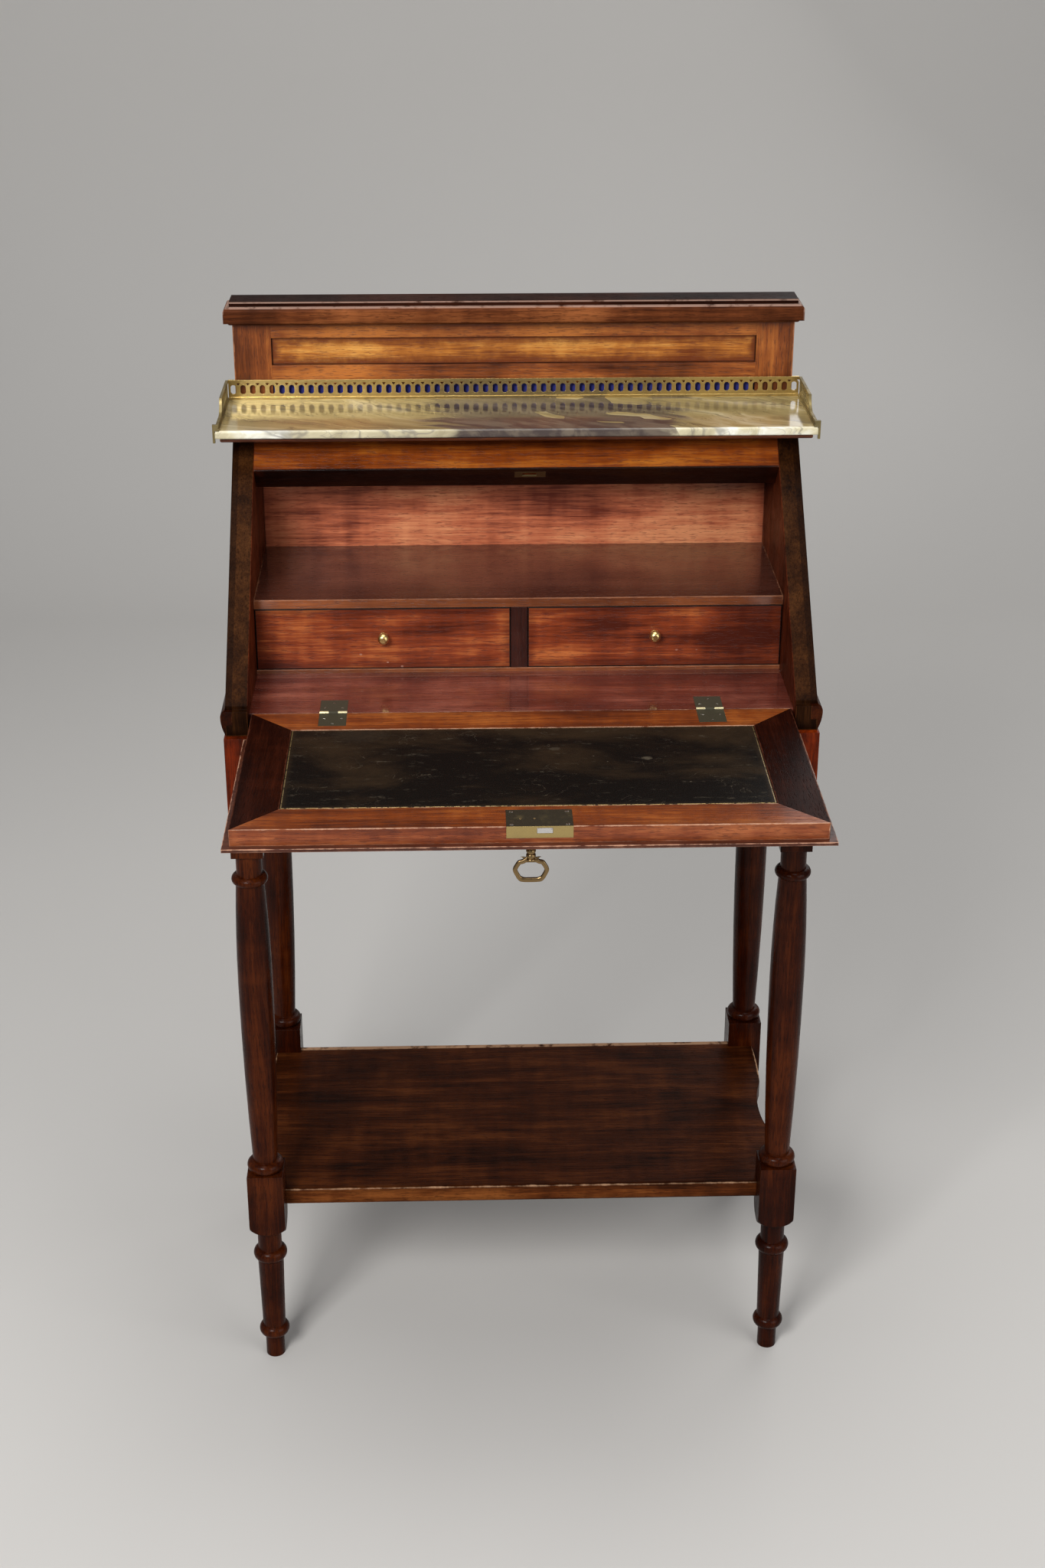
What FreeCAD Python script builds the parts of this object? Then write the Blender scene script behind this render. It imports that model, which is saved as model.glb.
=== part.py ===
import FreeCAD, Part
import math
import os
import Sketcher

from FreeCAD import Vector

# A lady's slope-front writing desk on four turned legs, with a rising screen at the back.
# Lengths are in millimetres. X runs to the right, Y to the back and Z up from the floor.
# Depths are first measured from the plane of the front legs' axes, then moved so that the
# origin lies on the floor under the middle of the whole desk with its fall open.

DRIVING_SIZES = [
    ("screen_stand", 98.7, "marble's surface up to the cap's top"),
    ("case_width", 556.8, "outer faces of the case's sides"),
    ("side_thickness", 21.0, "boards at the case's left and right"),
    ("top_depth", 100.06, "slope's upper end to the case's back face"),
    ("leg_post_gap", 0.6, "inner back panel to the back legs' square tops"),
    ("writing_height", 741.0, "floor to the writing surface"),
    ("hinge_setback", 8.0, "front legs' axes to the fall's hinge line"),
    ("slope_angle", 44.0, "closed fall, degrees from level"),
    ("rail_rise", 43.28, "closed fall's upper edge up to the top of the case's sides"),
    ("running_gap", 0.5, "between a sliding piece and its guide"),
    ("seat_gap", 0.3, "between a piece that moves and what it rests on"),
    ("overrun", 2.0, "how far a cutting shape runs past the wood"),
    # Turned legs
    ("carcass_overhang", 1.6, "case's sides out to the lower frame's outer faces"),
    ("leg_post", 31.0, "square top of a leg"),
    ("leg_post_length", 125.2, "square top of a leg, along the leg"),
    ("neck_diameter", 25.3, "turned neck over the collar"),
    ("collar_diameter", 35.5, "collar at the shaft's top"),
    ("collar_height", 10.0, "collar along the leg"),
    ("collar_drop", 28.0, "square top's lower end down to the collar's middle"),
    ("shaft_top_diameter", 27.5, "shaft under the collar"),
    ("shaft_swell_diameter", 34.3, "shaft at its widest"),
    ("shaft_foot_diameter", 25.2, "shaft over the base ring"),
    ("base_ring_diameter", 37.5, "ring at the shaft's foot"),
    ("base_ring_height", 12.5, "ring at the shaft's foot, along the leg"),
    ("base_ring_place", 241.5, "floor to that ring's middle"),
    ("leg_block", 37.0, "square block that holds the lower shelf"),
    ("leg_block_bottom", 161.9, "floor to the block's lower end"),
    ("leg_block_top", 235.0, "floor to the block's upper end"),
    ("ankle_neck_diameter", 24.8, "turned neck under the block"),
    ("foot_ring_diameter", 35.0, "ring under that neck"),
    ("foot_ring_height", 14.0, "ring under that neck, along the leg"),
    ("foot_ring_place", 130.9, "floor to that ring's middle"),
    ("foot_top_diameter", 27.0, "tapered foot at its top"),
    ("foot_end_diameter", 23.8, "tapered foot at its lower end"),
    ("ankle_ring_diameter", 31.8, "ring at the foot's lower end"),
    ("ankle_ring_height", 13.0, "ring at the foot's lower end, along the leg"),
    ("ankle_ring_place", 32.6, "floor to that ring's middle"),
    ("peg_diameter", 19.7, "peg that stands on the floor"),
    # Lower shelf
    ("shelf_bottom", 185.4, "floor to the lower shelf's underside"),
    ("shelf_thickness", 19.4, "lower shelf"),
    ("shelf_set_in", 4.5, "legs' axes to the shelf's front and back edges"),
    ("shelf_reach", 8.5, "legs' axes out to the shelf's ends"),
    ("shelf_lobe", 76.0, "rounded lobe of the shelf's ends beside each block"),
    ("shelf_lobe_rise", 1.5, "how far a lobe curves out"),
    ("shelf_hollow", 8.0, "how far a shelf's end curves in between its lobes"),
    ("shelf_rounding", 4.0, "radius of the shelf's front and back edges"),
    # Frieze under the case
    ("apron_drop", 110.2, "waist down to the aprons' lower edges"),
    ("apron_thickness", 16.0, "front and side aprons"),
    ("back_apron_thickness", 6.0, "apron behind the screen"),
    ("front_rail_depth", 29.5, "rail behind the front apron"),
    ("front_rail_height", 14.2, "rail behind the front apron"),
    # Case sides and waist
    ("toe_projection", 8.0, "front legs' axes forward to the sides' upright front ends"),
    ("toe_rise", 8.5, "writing surface up to the top of those front ends"),
    ("toe_step", 6.5, "those front ends to the slope's lower end"),
    ("waist_tongue_height", 13.5, "part of the waist moulding let into a side"),
    ("waist_tongue_depth", 6.5, "part of the waist moulding let into a side"),
    ("waist_rise", 4.6, "waist moulding outside a side"),
    ("waist_crest_drop", 5.5, "front ends' tops down to the waist moulding's widest line"),
    ("waist_crown", 8.0, "waist moulding's widest line up to its upper edge"),
    # Writing compartment
    ("fall_length", 250.0, "hinge line to the fall's front edge"),
    ("fall_thickness", 15.5, "fall's body"),
    ("fall_top_gap", 0.8, "closed fall's upper edge to the slope rail"),
    ("fall_side_gap", 2.5, "fall to each case side"),
    ("nest_depth", 161.3, "drawers' fronts to the inner back panel"),
    ("nest_base", 4.3, "board under the drawers"),
    ("drawer_opening", 63.3, "drawers' height with their gaps"),
    ("nest_shelf", 9.1, "shelf over the drawers"),
    ("nest_divider", 16.0, "upright between the drawers"),
    ("inner_back_thickness", 8.0, "inner back panel"),
    ("inner_back_rise", 25.0, "aprons' lower edges up to the inner back panel"),
    ("back_board", 9.2, "board that closes the case's back"),
    # Top of the case
    ("rail_depth", 32.2, "slope rail's lower face, front to inside"),
    ("top_frame_thickness", 5.1, "moulded frame under the marble"),
    ("top_frame_overhang", 8.6, "case's sides out to that frame's side noses"),
    ("top_frame_reach", 47.34, "slope's upper end forward to that frame's front nose"),
    ("top_board", 12.0, "case's top board"),
    ("marble_thickness", 7.7, "marble top"),
    ("marble_overhang", 12.7, "case's sides out to the marble's ends"),
    ("marble_reach", 51.24, "slope's upper end forward to the marble's front edge"),
    ("marble_back_gap", 1.2, "marble's back edge to the screen"),
    ("marble_rounding", 2.4, "radius of the marble's upper edges"),
    # Pierced gallery
    ("gallery_height", 20.0, "marble to the gallery's top"),
    ("gallery_inset", 2.4, "marble's edge to the middle of the gallery's sheet"),
    ("gallery_sheet", 1.2, "pierced sheet"),
    ("gallery_rail_width", 2.6, "rail along the gallery's top"),
    ("gallery_rail_height", 3.0, "rail along the gallery's top"),
    ("gallery_foot_width", 3.4, "foot along the marble"),
    ("gallery_foot_height", 2.4, "foot along the marble"),
    ("arch_width", 5.4, "arched openings"),
    ("arch_base", 5.6, "marble to the arched openings"),
    ("arch_height", 9.0, "arched openings"),
    ("spandrel_width", 3.8, "three-cornered openings between the arches"),
    ("spandrel_height", 2.6, "three-cornered openings between the arches"),
    ("low_rail_height", 6.0, "gallery's low front part"),
    ("gallery_post", 3.2, "post at each front corner of the marble, along the side"),
    ("gallery_post_width", 2.3, "post outside the marble's edge"),
    ("gallery_post_drop", 12.0, "post below the marble's surface"),
    # Rising screen
    ("screen_thickness", 21.0, "screen's frame"),
    ("screen_overhang", 2.4, "case's sides out to the screen's shoulders"),
    ("screen_play", 2.0, "screen to the boards before and behind it"),
    ("screen_rise", 15.0, "aprons' lower edges up to the lowered screen"),
    ("screen_stile", 37.7, "screen's stiles at their shoulders"),
    ("screen_rail", 19.4, "rail between the cloth and the upper panel"),
    ("screen_bottom_rail", 20.0, "screen's lowest rail"),
    ("screen_top_rail", 14.1, "rail over the upper panel"),
    ("screen_panel_height", 27.8, "upper panel"),
    ("screen_panel_recess", 4.0, "upper panel behind the frame's face"),
    ("screen_panel_thickness", 8.0, "upper panel"),
    ("cloth_recess", 3.0, "cloth behind the frame's face"),
    ("cloth_thickness", 3.0, "cloth on its strainer"),
    # Moulded cap
    ("cap_overhang_side", 7.8, "cap beyond the screen's shoulders"),
    ("cap_overhang_front", 11.2, "cap before and behind the screen"),
    ("cap_bed_height", 2.8, "small moulding under the cap"),
    ("cap_bed_inset", 4.0, "small moulding inside the cap's face"),
    ("cap_face_height", 11.7, "cap's upright face"),
    ("cap_round_height", 3.5, "quarter round over the face"),
    ("cap_top_inset", 6.0, "cap's top inside its face"),
    ("cap_height", 23.5, "whole cap"),
    # Fall
    ("fall_frame", 40.0, "mitred frame round the leather"),
    ("leather_thickness", 1.0, "leather skin"),
    ("lip_thickness", 3.0, "thin lip on the fall's outer face"),
    ("lip_overhang", 6.5, "lip beyond the fall's edges"),
    ("lip_lap", 8.0, "lip on the fall's outer face"),
    ("lip_leg_gap", 1.5, "front legs' square tops to the start of the side lips"),
    # Hinges of the fall
    ("hinge_set_in", 76.9, "fall's side edge to the middle of each hinge"),
    ("hinge_width", 26.0, "along the knuckle"),
    ("hinge_leaf", 31.0, "hinge line to a leaf's end"),
    ("hinge_sheet", 2.0, "leaf's thickness and the knuckle's radius"),
    ("hinge_pin_diameter", 2.0, "pin"),
    ("pin_clearance", 0.05, "round the pin, on the radius"),
    ("knuckle_gap", 0.25, "between a knuckle and its neighbours"),
    ("screw_hole_diameter", 3.0, "holes in the leaves"),
    # Lock in the fall's front edge
    ("lock_offset", 8.0, "middle of the desk to the lock's middle"),
    ("lock_width", 57.0, "lock's plates"),
    ("lock_depth", 33.0, "cover plate from the front edge"),
    ("lock_face_height", 11.0, "face plate in the front edge"),
    ("lock_sheet", 1.5, "cover and face plates"),
    ("lock_case_width", 44.0, "lock's case"),
    ("lock_case_depth", 28.0, "lock's case, from the front edge"),
    ("lock_case_wall", 1.2, "lock's case"),
    ("bolt_offset", 12.3, "middle of the desk to the bolt's middle"),
    ("bolt_width", 13.3, "bolt"),
    ("bolt_height", 4.8, "bolt"),
    ("bolt_drop", 1.7, "writing surface to the bolt's upper face"),
    ("bolt_length", 17.0, "bolt"),
    ("bolt_clearance", 0.15, "round the bolt"),
    ("bolt_travel", 7.0, "bolt's throw"),
    ("key_offset", 1.0, "middle of the desk to the key"),
    ("key_setback", 17.0, "fall's front edge to the key"),
    ("key_stem_diameter", 6.4, "key's stem"),
    ("key_bore_diameter", 3.2, "key's pipe"),
    ("key_bore_depth", 12.0, "key's pipe"),
    ("key_clearance", 0.3, "round the key's stem"),
    ("drill_pin_clearance", 0.1, "between the lock's pin and the key's pipe"),
    ("key_bit_reach", 8.0, "key's axis to the bit's end"),
    ("key_bit_height", 2.6, "key's bit"),
    ("key_bit_thickness", 2.4, "key's bit"),
    ("key_bow_width", 29.0, "key's bow"),
    ("key_bow_height", 20.4, "key's bow"),
    ("key_bow_wire", 2.9, "key's bow"),
    ("key_bow_drop", 24.0, "fall's outer face down to the bow's upper side"),
    ("key_collar_diameter", 8.4, "collar over the bow"),
    ("key_collar_height", 3.0, "collar over the bow"),
    ("escutcheon_half_width", 6.5, "plate round the keyhole"),
    ("escutcheon_thickness", 1.0, "plate round the keyhole"),
    ("strike_offset", 13.0, "middle of the desk to the strike plate's middle"),
    ("strike_width", 30.4, "strike plate"),
    ("strike_depth", 11.0, "strike plate"),
    ("strike_sheet", 1.5, "strike plate"),
    ("strike_hole_depth", 9.0, "hole for the bolt"),
    # Drawers
    ("drawer_gap", 0.5, "round a drawer"),
    ("drawer_front", 10.0, "drawer's front"),
    ("drawer_side", 6.0, "drawer's sides and back"),
    ("drawer_floor", 3.0, "drawer's bottom"),
    ("drawer_floor_lift", 3.0, "drawer's lower edge to its bottom"),
    ("drawer_stop", 3.0, "drawer's back to the inner back panel"),
    ("drawer_back_drop", 5.0, "drawer's back below its front's top"),
    ("knob_diameter", 11.3, "drawer's knob"),
    ("knob_length", 11.5, "drawer's knob"),
    ("knob_neck_diameter", 5.0, "knob's neck"),
    ("knob_base_diameter", 9.0, "knob's base"),
    ("knob_base_height", 2.0, "knob's base"),
    ("knob_rise", 2.3, "knob over the drawer's middle"),
    # Lopers under the fall
    ("loper_width", 20.0, "pull-out support"),
    ("loper_height", 28.0, "pull-out support"),
    ("loper_setback", 3.0, "leg's square top to the loper's outer face"),
    ("loper_travel", 125.0, "how far a loper is drawn"),
    ("loper_stay", 75.0, "loper left inside when it is drawn"),
    ("runner_thickness", 8.0, "bearer and cheek of a loper's runner"),
]
GALLERY_OPENINGS = 59
GALLERY_SIDE_OPENINGS = 7
SCROLL_START_SHARE = 0.40
SCROLL_END_SHARE = 0.25
SCROLL_HOLLOW_SHARE = 0.16
HINGE_KNUCKLES = 3
SHAFT_SWELL_SHARE = 0.646
ARCH_CHAMFER_SHARE = 0.6
HINGE_SCREW_SHARES = ((0.42, -0.32), (0.42, 0.32), (0.80, 0.0))
KNOB_SWELL_SHARE = 0.34
CAP_ROUND_SHARE = 0.4
NOSE_SHARE = 0.49
PIN_SHARE = 0.8


class Size:
    """A length made of the sheet's named sizes, kept as a number and as a formula."""

    def __init__(self, number, formula):
        self.number = number
        self.formula = formula

    @staticmethod
    def of(value):
        return value if isinstance(value, Size) else Size(float(value), repr(value))

    def __add__(self, other):
        other = Size.of(other)
        return Size(self.number + other.number, f"({self.formula} + {other.formula})")

    def __sub__(self, other):
        other = Size.of(other)
        return Size(self.number - other.number, f"({self.formula} - {other.formula})")

    def __mul__(self, other):
        other = Size.of(other)
        return Size(self.number * other.number, f"({self.formula} * {other.formula})")

    def __truediv__(self, other):
        other = Size.of(other)
        return Size(self.number / other.number, f"({self.formula} / {other.formula})")

    def __neg__(self):
        return Size(-self.number, f"(0 - {self.formula})")

    __radd__ = __add__
    __rmul__ = __mul__


class Sizes:
    """The sheet's sizes, each read by its name."""

    def __init__(self, sheet, table):
        for row, (alias, number, note) in enumerate(table, start=1):
            sheet.set(f"A{row}", alias)
            sheet.set(f"B{row}", str(number))
            sheet.set(f"C{row}", note)
            sheet.setAlias(f"B{row}", alias)
        sheet.recompute()
        for alias, _, _ in table:
            setattr(self, alias, Size(float(sheet.get(alias)), f"Sizes.{alias}"))


DOC = FreeCAD.newDocument("WritingDesk")
SHEET = DOC.addObject("Spreadsheet::Sheet", "Sizes")
size = Sizes(SHEET, DRIVING_SIZES)
NODES = {}
ZERO = Size(0.0, "0")

# Places across the desk, as half widths

case_half = size.case_width / 2
inner_half = case_half - size.side_thickness
carcass_half = case_half + size.carcass_overhang
post_inner = carcass_half - size.leg_post
leg_x = carcass_half - size.leg_post / 2
fall_half = inner_half - size.fall_side_gap
hinge_middle = fall_half - size.hinge_set_in
marble_half = case_half + size.marble_overhang
frame_half = case_half + size.top_frame_overhang
screen_half = case_half + size.screen_overhang
panel_half = fall_half - size.fall_frame
drawer_inner = size.nest_divider / 2 + size.drawer_gap
drawer_outer = inner_half - size.drawer_gap
loper_outer = post_inner - size.loper_setback
loper_inner = loper_outer - size.loper_width

# The slope: its direction, and the face of its jambs just inside the closed fall's lip

slope_cosine = Size(math.cos(math.radians(size.slope_angle.number)), "cos(Sizes.slope_angle)")
slope_sine = Size(math.sin(math.radians(size.slope_angle.number)), "sin(Sizes.slope_angle)")
jamb_face = size.fall_thickness - size.seat_gap
rail_start = size.fall_length + size.fall_top_gap

# Heights above the floor

fall_under = size.writing_height - size.fall_thickness
waist_height = fall_under - size.seat_gap
lip_under = fall_under - size.lip_thickness
leg_post_bottom = waist_height - size.leg_post_length
collar_place = leg_post_bottom - size.collar_drop
shaft_swell_place = size.base_ring_place + (collar_place - size.base_ring_place) * SHAFT_SWELL_SHARE
apron_bottom = waist_height - size.apron_drop
toe_top = size.writing_height + size.toe_rise
tongue_bottom = toe_top - size.waist_tongue_height
waist_crest = toe_top - size.waist_crest_drop
nest_base_top = size.writing_height + size.nest_base
nest_shelf_bottom = nest_base_top + size.drawer_opening
nest_shelf_top = nest_shelf_bottom + size.nest_shelf
case_height = size.writing_height + rail_start * slope_sine + size.rail_rise
marble_under = case_height + size.top_frame_thickness
marble_top = marble_under + size.marble_thickness
top_board_bottom = marble_under - size.top_board
total_height = marble_top + size.screen_stand
cap_bottom = total_height - size.cap_height
panel_top = cap_bottom - size.screen_top_rail
panel_bottom = panel_top - size.screen_panel_height
screen_bottom = apron_bottom + size.screen_rise
leather_under = size.writing_height - size.leather_thickness
loper_top = waist_height - size.seat_gap
loper_bottom = loper_top - size.loper_height
lock_case_bottom = size.writing_height - size.lock_face_height
key_bow_top = fall_under - size.key_bow_drop

# Depths behind the front legs' axes

slope_end_along = (case_height - size.writing_height - jamb_face * slope_cosine) / slope_sine
slope_end = size.hinge_setback + slope_end_along * slope_cosine - jamb_face * slope_sine
case_back = slope_end + size.top_depth
fall_front = size.hinge_setback - size.fall_length
lip_front = fall_front - size.lip_overhang
centre_depth = (lip_front + case_back) / 2
apron_face = -size.leg_post / 2
apron_inside = apron_face + size.apron_thickness
board_face = case_back - size.back_board
screen_rear = board_face - size.screen_play
screen_face = screen_rear - size.screen_thickness
inner_back_rear = screen_face - size.screen_play
inner_back_face = inner_back_rear - size.inner_back_thickness
leg_span = inner_back_rear + size.leg_post_gap + size.leg_post / 2
nest_front = inner_back_face - size.nest_depth
frame_front = slope_end - size.top_frame_reach
marble_front = slope_end - size.marble_reach
marble_back = screen_face - size.marble_back_gap
lip_start = size.hinge_setback + size.leg_post / 2 + size.lip_leg_gap
toe_face = -size.toe_projection
jamb_end = toe_face + size.toe_step
front_rail_rear = apron_inside + size.front_rail_depth
drawer_back = inner_back_face - size.drawer_stop


def on_slope(along, outward):
    """The depth and height of a point along the closed fall and outward of its inner face."""
    depth = size.hinge_setback + along * slope_cosine - outward * slope_sine
    height = size.writing_height + along * slope_sine + outward * slope_cosine
    return depth, height


def jamb_depth_at(height):
    """The depth of the jambs' sloping face at a height."""
    along = (height - size.writing_height - jamb_face * slope_cosine) / slope_sine
    return size.hinge_setback + along * slope_cosine - jamb_face * slope_sine


def jamb_height_at(depth):
    """The height of the jambs' sloping face at a depth."""
    along = (depth - size.hinge_setback + jamb_face * slope_sine) / slope_cosine
    return size.writing_height + along * slope_sine + jamb_face * slope_cosine


def bind(thing, prop, length):
    """Tie a property to a formula of the sheet's sizes."""
    thing.setExpression(prop, length.formula)


def place(thing, x, y, z):
    """Put an object where its formulas say, with the origin under the desk's middle."""
    shifted = y - centre_depth
    for axis, length in (("x", x), ("y", shifted), ("z", z)):
        bind(thing, f"Placement.Base.{axis}", length)


def node(name, thing):
    """Keep an object as the sub-part of that name."""
    thing.Label = name
    NODES[name] = thing
    return thing


def block(name, x_range, y_range, z_range):
    """A rectangular board between the places given for each axis."""
    board = DOC.addObject("Part::Box", name)
    bind(board, "Length", x_range[1] - x_range[0])
    bind(board, "Width", y_range[1] - y_range[0])
    bind(board, "Height", z_range[1] - z_range[0])
    place(board, x_range[0], y_range[0], z_range[0])
    return board


def mirrored_range(side, inner, outer):
    """The range from an inner to an outer half width on the left (-1) or right (1)."""
    return (inner, outer) if side > 0 else (-outer, -inner)


def cut(name, base, tools):
    """A base shape less the tools' shapes."""
    result = DOC.addObject("Part::Cut", name)
    result.Base = base
    if len(tools) > 1:
        tool = DOC.addObject("Part::MultiFuse", name + "_tools")
        tool.Shapes = tools
    else:
        tool = tools[0]
    result.Tool = tool
    return result


def joined(name, shapes):
    """Several touching shapes made one."""
    result = DOC.addObject("Part::MultiFuse", name)
    result.Shapes = shapes
    result.Refine = True
    return result


def group(name, shapes):
    """Separate solids of one kind kept together."""
    result = DOC.addObject("Part::Compound", name)
    result.Links = shapes
    return result


def new_body(name, x=ZERO, y=ZERO, z=ZERO):
    """An empty body at a place."""
    body = DOC.addObject("PartDesign::Body", name)
    place(body, x, y, z)
    return body


def new_sketch(body, role, name, lift=None):
    """A sketch on one of the body's own planes, lifted along the plane's normal."""
    sketch = body.newObject("Sketcher::SketchObject", f"{body.Name}_{name}")
    plane = next(item for item in body.Origin.OriginFeatures if item.Role == role)
    sketch.AttachmentSupport = [(plane, "")]
    sketch.MapMode = "FlatFace"
    if lift is not None:
        bind(sketch, "AttachmentOffset.Base.z", lift)
    return sketch


def point_rule(geometry, end, axis, length):
    """The rule that holds a point's first (0) or second (1) coordinate at a formula."""
    if math.isclose(length.number, 0.0, abs_tol=1e-7):
        return ("PointOnObject", geometry, end, (-2, -1)[axis]), None
    kind = ("DistanceX", "DistanceY")[axis]
    if length.number < 0:
        return (kind, geometry, end, -1, 1, -length.number), -length
    return (kind, -1, 1, geometry, end, length.number), length


def add_rules(sketch, rules):
    """Give a sketch its constraints, with each length tied to its formula."""
    indices = sketch.addConstraint([Sketcher.Constraint(*rule) for rule, _ in rules])
    for index, (_, length) in zip(indices, rules):
        if length is not None:
            sketch.setExpression(f"Constraints[{index}]", length.formula)


def arc_through(start, finish, bulge):
    """The arc from start to finish that swells to the right of the way by the bulge."""
    chord = finish - start
    aside = Vector(chord.y, -chord.x, 0).normalize()
    depth = abs(bulge)
    radius = chord.Length ** 2 / (8 * depth) + depth / 2
    way = math.copysign(1, bulge)
    centre = (start + finish) / 2 + aside * (way * (depth - radius))
    first, last = (start, finish) if bulge > 0 else (finish, start)
    angles = [math.atan2(point.y - centre.y, point.x - centre.x) for point in (first, last)]
    if angles[1] < angles[0]:
        angles[1] += 2 * math.pi
    return Part.ArcOfCircle(Part.Circle(centre, Vector(0, 0, 1), radius), *angles)


def draw(sketch, corners):
    """Draw a closed outline; a corner's third value is the bulge of the arc after it."""
    offset = sketch.GeometryCount
    points = [Vector(corner[0].number, corner[1].number, 0) for corner in corners]
    edges = []
    rules = []
    starts = []
    for index, corner in enumerate(corners):
        start = points[index]
        finish = points[(index + 1) % len(points)]
        if len(corner) == 2:
            edges.append(Part.LineSegment(start, finish))
            starts.append(1)
        else:
            edges.append(arc_through(start, finish, corner[2].number))
            starts.append(1 if corner[2].number > 0 else 2)
    sketch.addGeometry(edges, False)
    for index, corner in enumerate(corners):
        after = (index + 1) % len(corners)
        end = 3 - starts[index]
        rules.append((("Coincident", offset + index, end, offset + after, starts[after]), None))
        rules.append(point_rule(offset + index, starts[index], 0, corner[0]))
        rules.append(point_rule(offset + index, starts[index], 1, corner[1]))
        if len(corner) == 3:
            rules.append(arc_rule(corner, corners[after], offset + index))
    add_rules(sketch, rules)


def arc_rule(corner, following, geometry):
    """The rule for an arc's radius, or for the middle of a half circle."""
    bulge = corner[2] if corner[2].number > 0 else -corner[2]
    across = following[0] - corner[0]
    along = following[1] - corner[1]
    if math.isclose(math.hypot(across.number, along.number), bulge.number * 2, rel_tol=1e-6):
        axis = 0 if abs(along.number) > abs(across.number) else 1
        return point_rule(geometry, 3, axis, (corner[axis] + following[axis]) / 2)
    radius = (across * across + along * along) / (bulge * 8) + bulge / 2
    return ("Radius", geometry, radius.number), radius


def draw_circle(sketch, x, y, radius):
    """Draw a circle of a radius round a point."""
    circle = Part.Circle(Vector(x.number, y.number, 0), Vector(0, 0, 1), radius.number)
    geometry = sketch.addGeometry(circle)
    rules = [point_rule(geometry, 3, 0, x), point_rule(geometry, 3, 1, y)]
    rules.append((("Radius", geometry, radius.number), radius))
    add_rules(sketch, rules)


def rectangle(x_range, y_range):
    """The four corners of a rectangle, anticlockwise."""
    (left, right), (low, high) = x_range, y_range
    return [(left, low), (right, low), (right, high), (left, high)]


def pad(body, sketch, length, reverse=False):
    """Raise a sketch by a length."""
    feature = body.newObject("PartDesign::Pad", sketch.Name + "_pad")
    feature.Profile = sketch
    feature.Reversed = reverse
    bind(feature, "Length", length)
    sketch.Visibility = False
    return feature


def pocket(body, sketch, length, reverse=False):
    """Cut a sketch into the body by a length, and make sure that it cuts."""
    DOC.recompute()
    before = body.Shape.Volume
    feature = body.newObject("PartDesign::Pocket", sketch.Name + "_pocket")
    feature.Profile = sketch
    feature.Reversed = reverse
    bind(feature, "Length", length)
    DOC.recompute()
    if not feature.Shape.Volume < before:
        raise ValueError(f"{feature.Name} removes nothing")
    return feature


def revolve(body, sketch, kind="PartDesign::Revolution"):
    """Turn a sketch a full turn about its upright axis."""
    feature = body.newObject(kind, sketch.Name + "_turned")
    feature.Profile = sketch
    feature.ReferenceAxis = (sketch, ["V_Axis"])
    feature.Angle = 360
    return feature


def profile_body(name, role, corners, length, x=ZERO, y=ZERO, z=ZERO):
    """A body whose outline on one plane is raised by a length."""
    body = new_body(name, x, y, z)
    sketch = new_sketch(body, role, "outline")
    draw(sketch, corners)
    pad(body, sketch, length)
    return body


def fillet_where(body, radius, chosen):
    """Round the edges of a body that a test chooses."""
    DOC.recompute()
    base = body.Tip
    names = [f"Edge{index}" for index, edge in enumerate(base.Shape.Edges, start=1) if chosen(edge)]
    feature = body.newObject("PartDesign::Fillet", body.Name + "_rounding")
    feature.Base = (base, names)
    bind(feature, "Radius", radius)
    return feature


def is_near(first, second):
    """Whether two numbers are the same to within the kernel's accuracy."""
    return math.isclose(first, second, abs_tol=1e-4)


def turned_ring(place_size, height, diameter, root):
    """Corners of a rounded ring that stands out of a turned root radius."""
    low = place_size - height / 2
    high = place_size + height / 2
    return [(root, low, diameter / 2 - root), (root, high)]


def leg_profile():
    """Half outline of a turned leg, radius by height, from the floor to the square top."""
    peg = size.peg_diameter / 2
    foot_end = size.foot_end_diameter / 2
    foot_top = size.foot_top_diameter / 2
    ankle = size.ankle_neck_diameter / 2
    shaft_foot = size.shaft_foot_diameter / 2
    swell = size.shaft_swell_diameter / 2
    shaft_top = size.shaft_top_diameter / 2
    neck = size.neck_diameter / 2
    ankle_ring_bottom = size.ankle_ring_place - size.ankle_ring_height / 2
    foot_ring_bottom = size.foot_ring_place - size.foot_ring_height / 2
    swell_line = shaft_swell_place
    base_top = size.base_ring_place + size.base_ring_height / 2
    collar_bottom = collar_place - size.collar_height / 2
    lower_half = arc_bulge(swell - shaft_foot, swell_line - base_top)
    upper_half = arc_bulge(swell - shaft_top, collar_bottom - swell_line)
    return [
        (ZERO, ZERO),
        (peg, ZERO),
        (peg, ankle_ring_bottom),
        *turned_ring(size.ankle_ring_place, size.ankle_ring_height, size.ankle_ring_diameter, foot_end),
        (foot_top, foot_ring_bottom),
        *turned_ring(size.foot_ring_place, size.foot_ring_height, size.foot_ring_diameter, ankle),
        (ankle, size.leg_block_top),
        *turned_ring(size.base_ring_place, size.base_ring_height, size.base_ring_diameter, ankle),
        (shaft_foot, base_top, lower_half),
        (swell, swell_line, upper_half),
        (shaft_top, collar_bottom),
        *turned_ring(collar_place, size.collar_height, size.collar_diameter, neck),
        (neck, waist_height),
        (ZERO, waist_height),
    ]


def arc_bulge(run, rise):
    """Bulge of an arc that is upright at one end and covers a run over a rise."""
    run_number, rise_number = run.number, rise.number
    radius = (run * run + rise * rise) / (run * 2)
    chord = Size(math.hypot(run_number, rise_number), f"sqrt({(run * run + rise * rise).formula})")
    square = radius * radius - chord * chord / 4
    return radius - Size(math.sqrt(square.number), f"sqrt({square.formula})")


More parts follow.
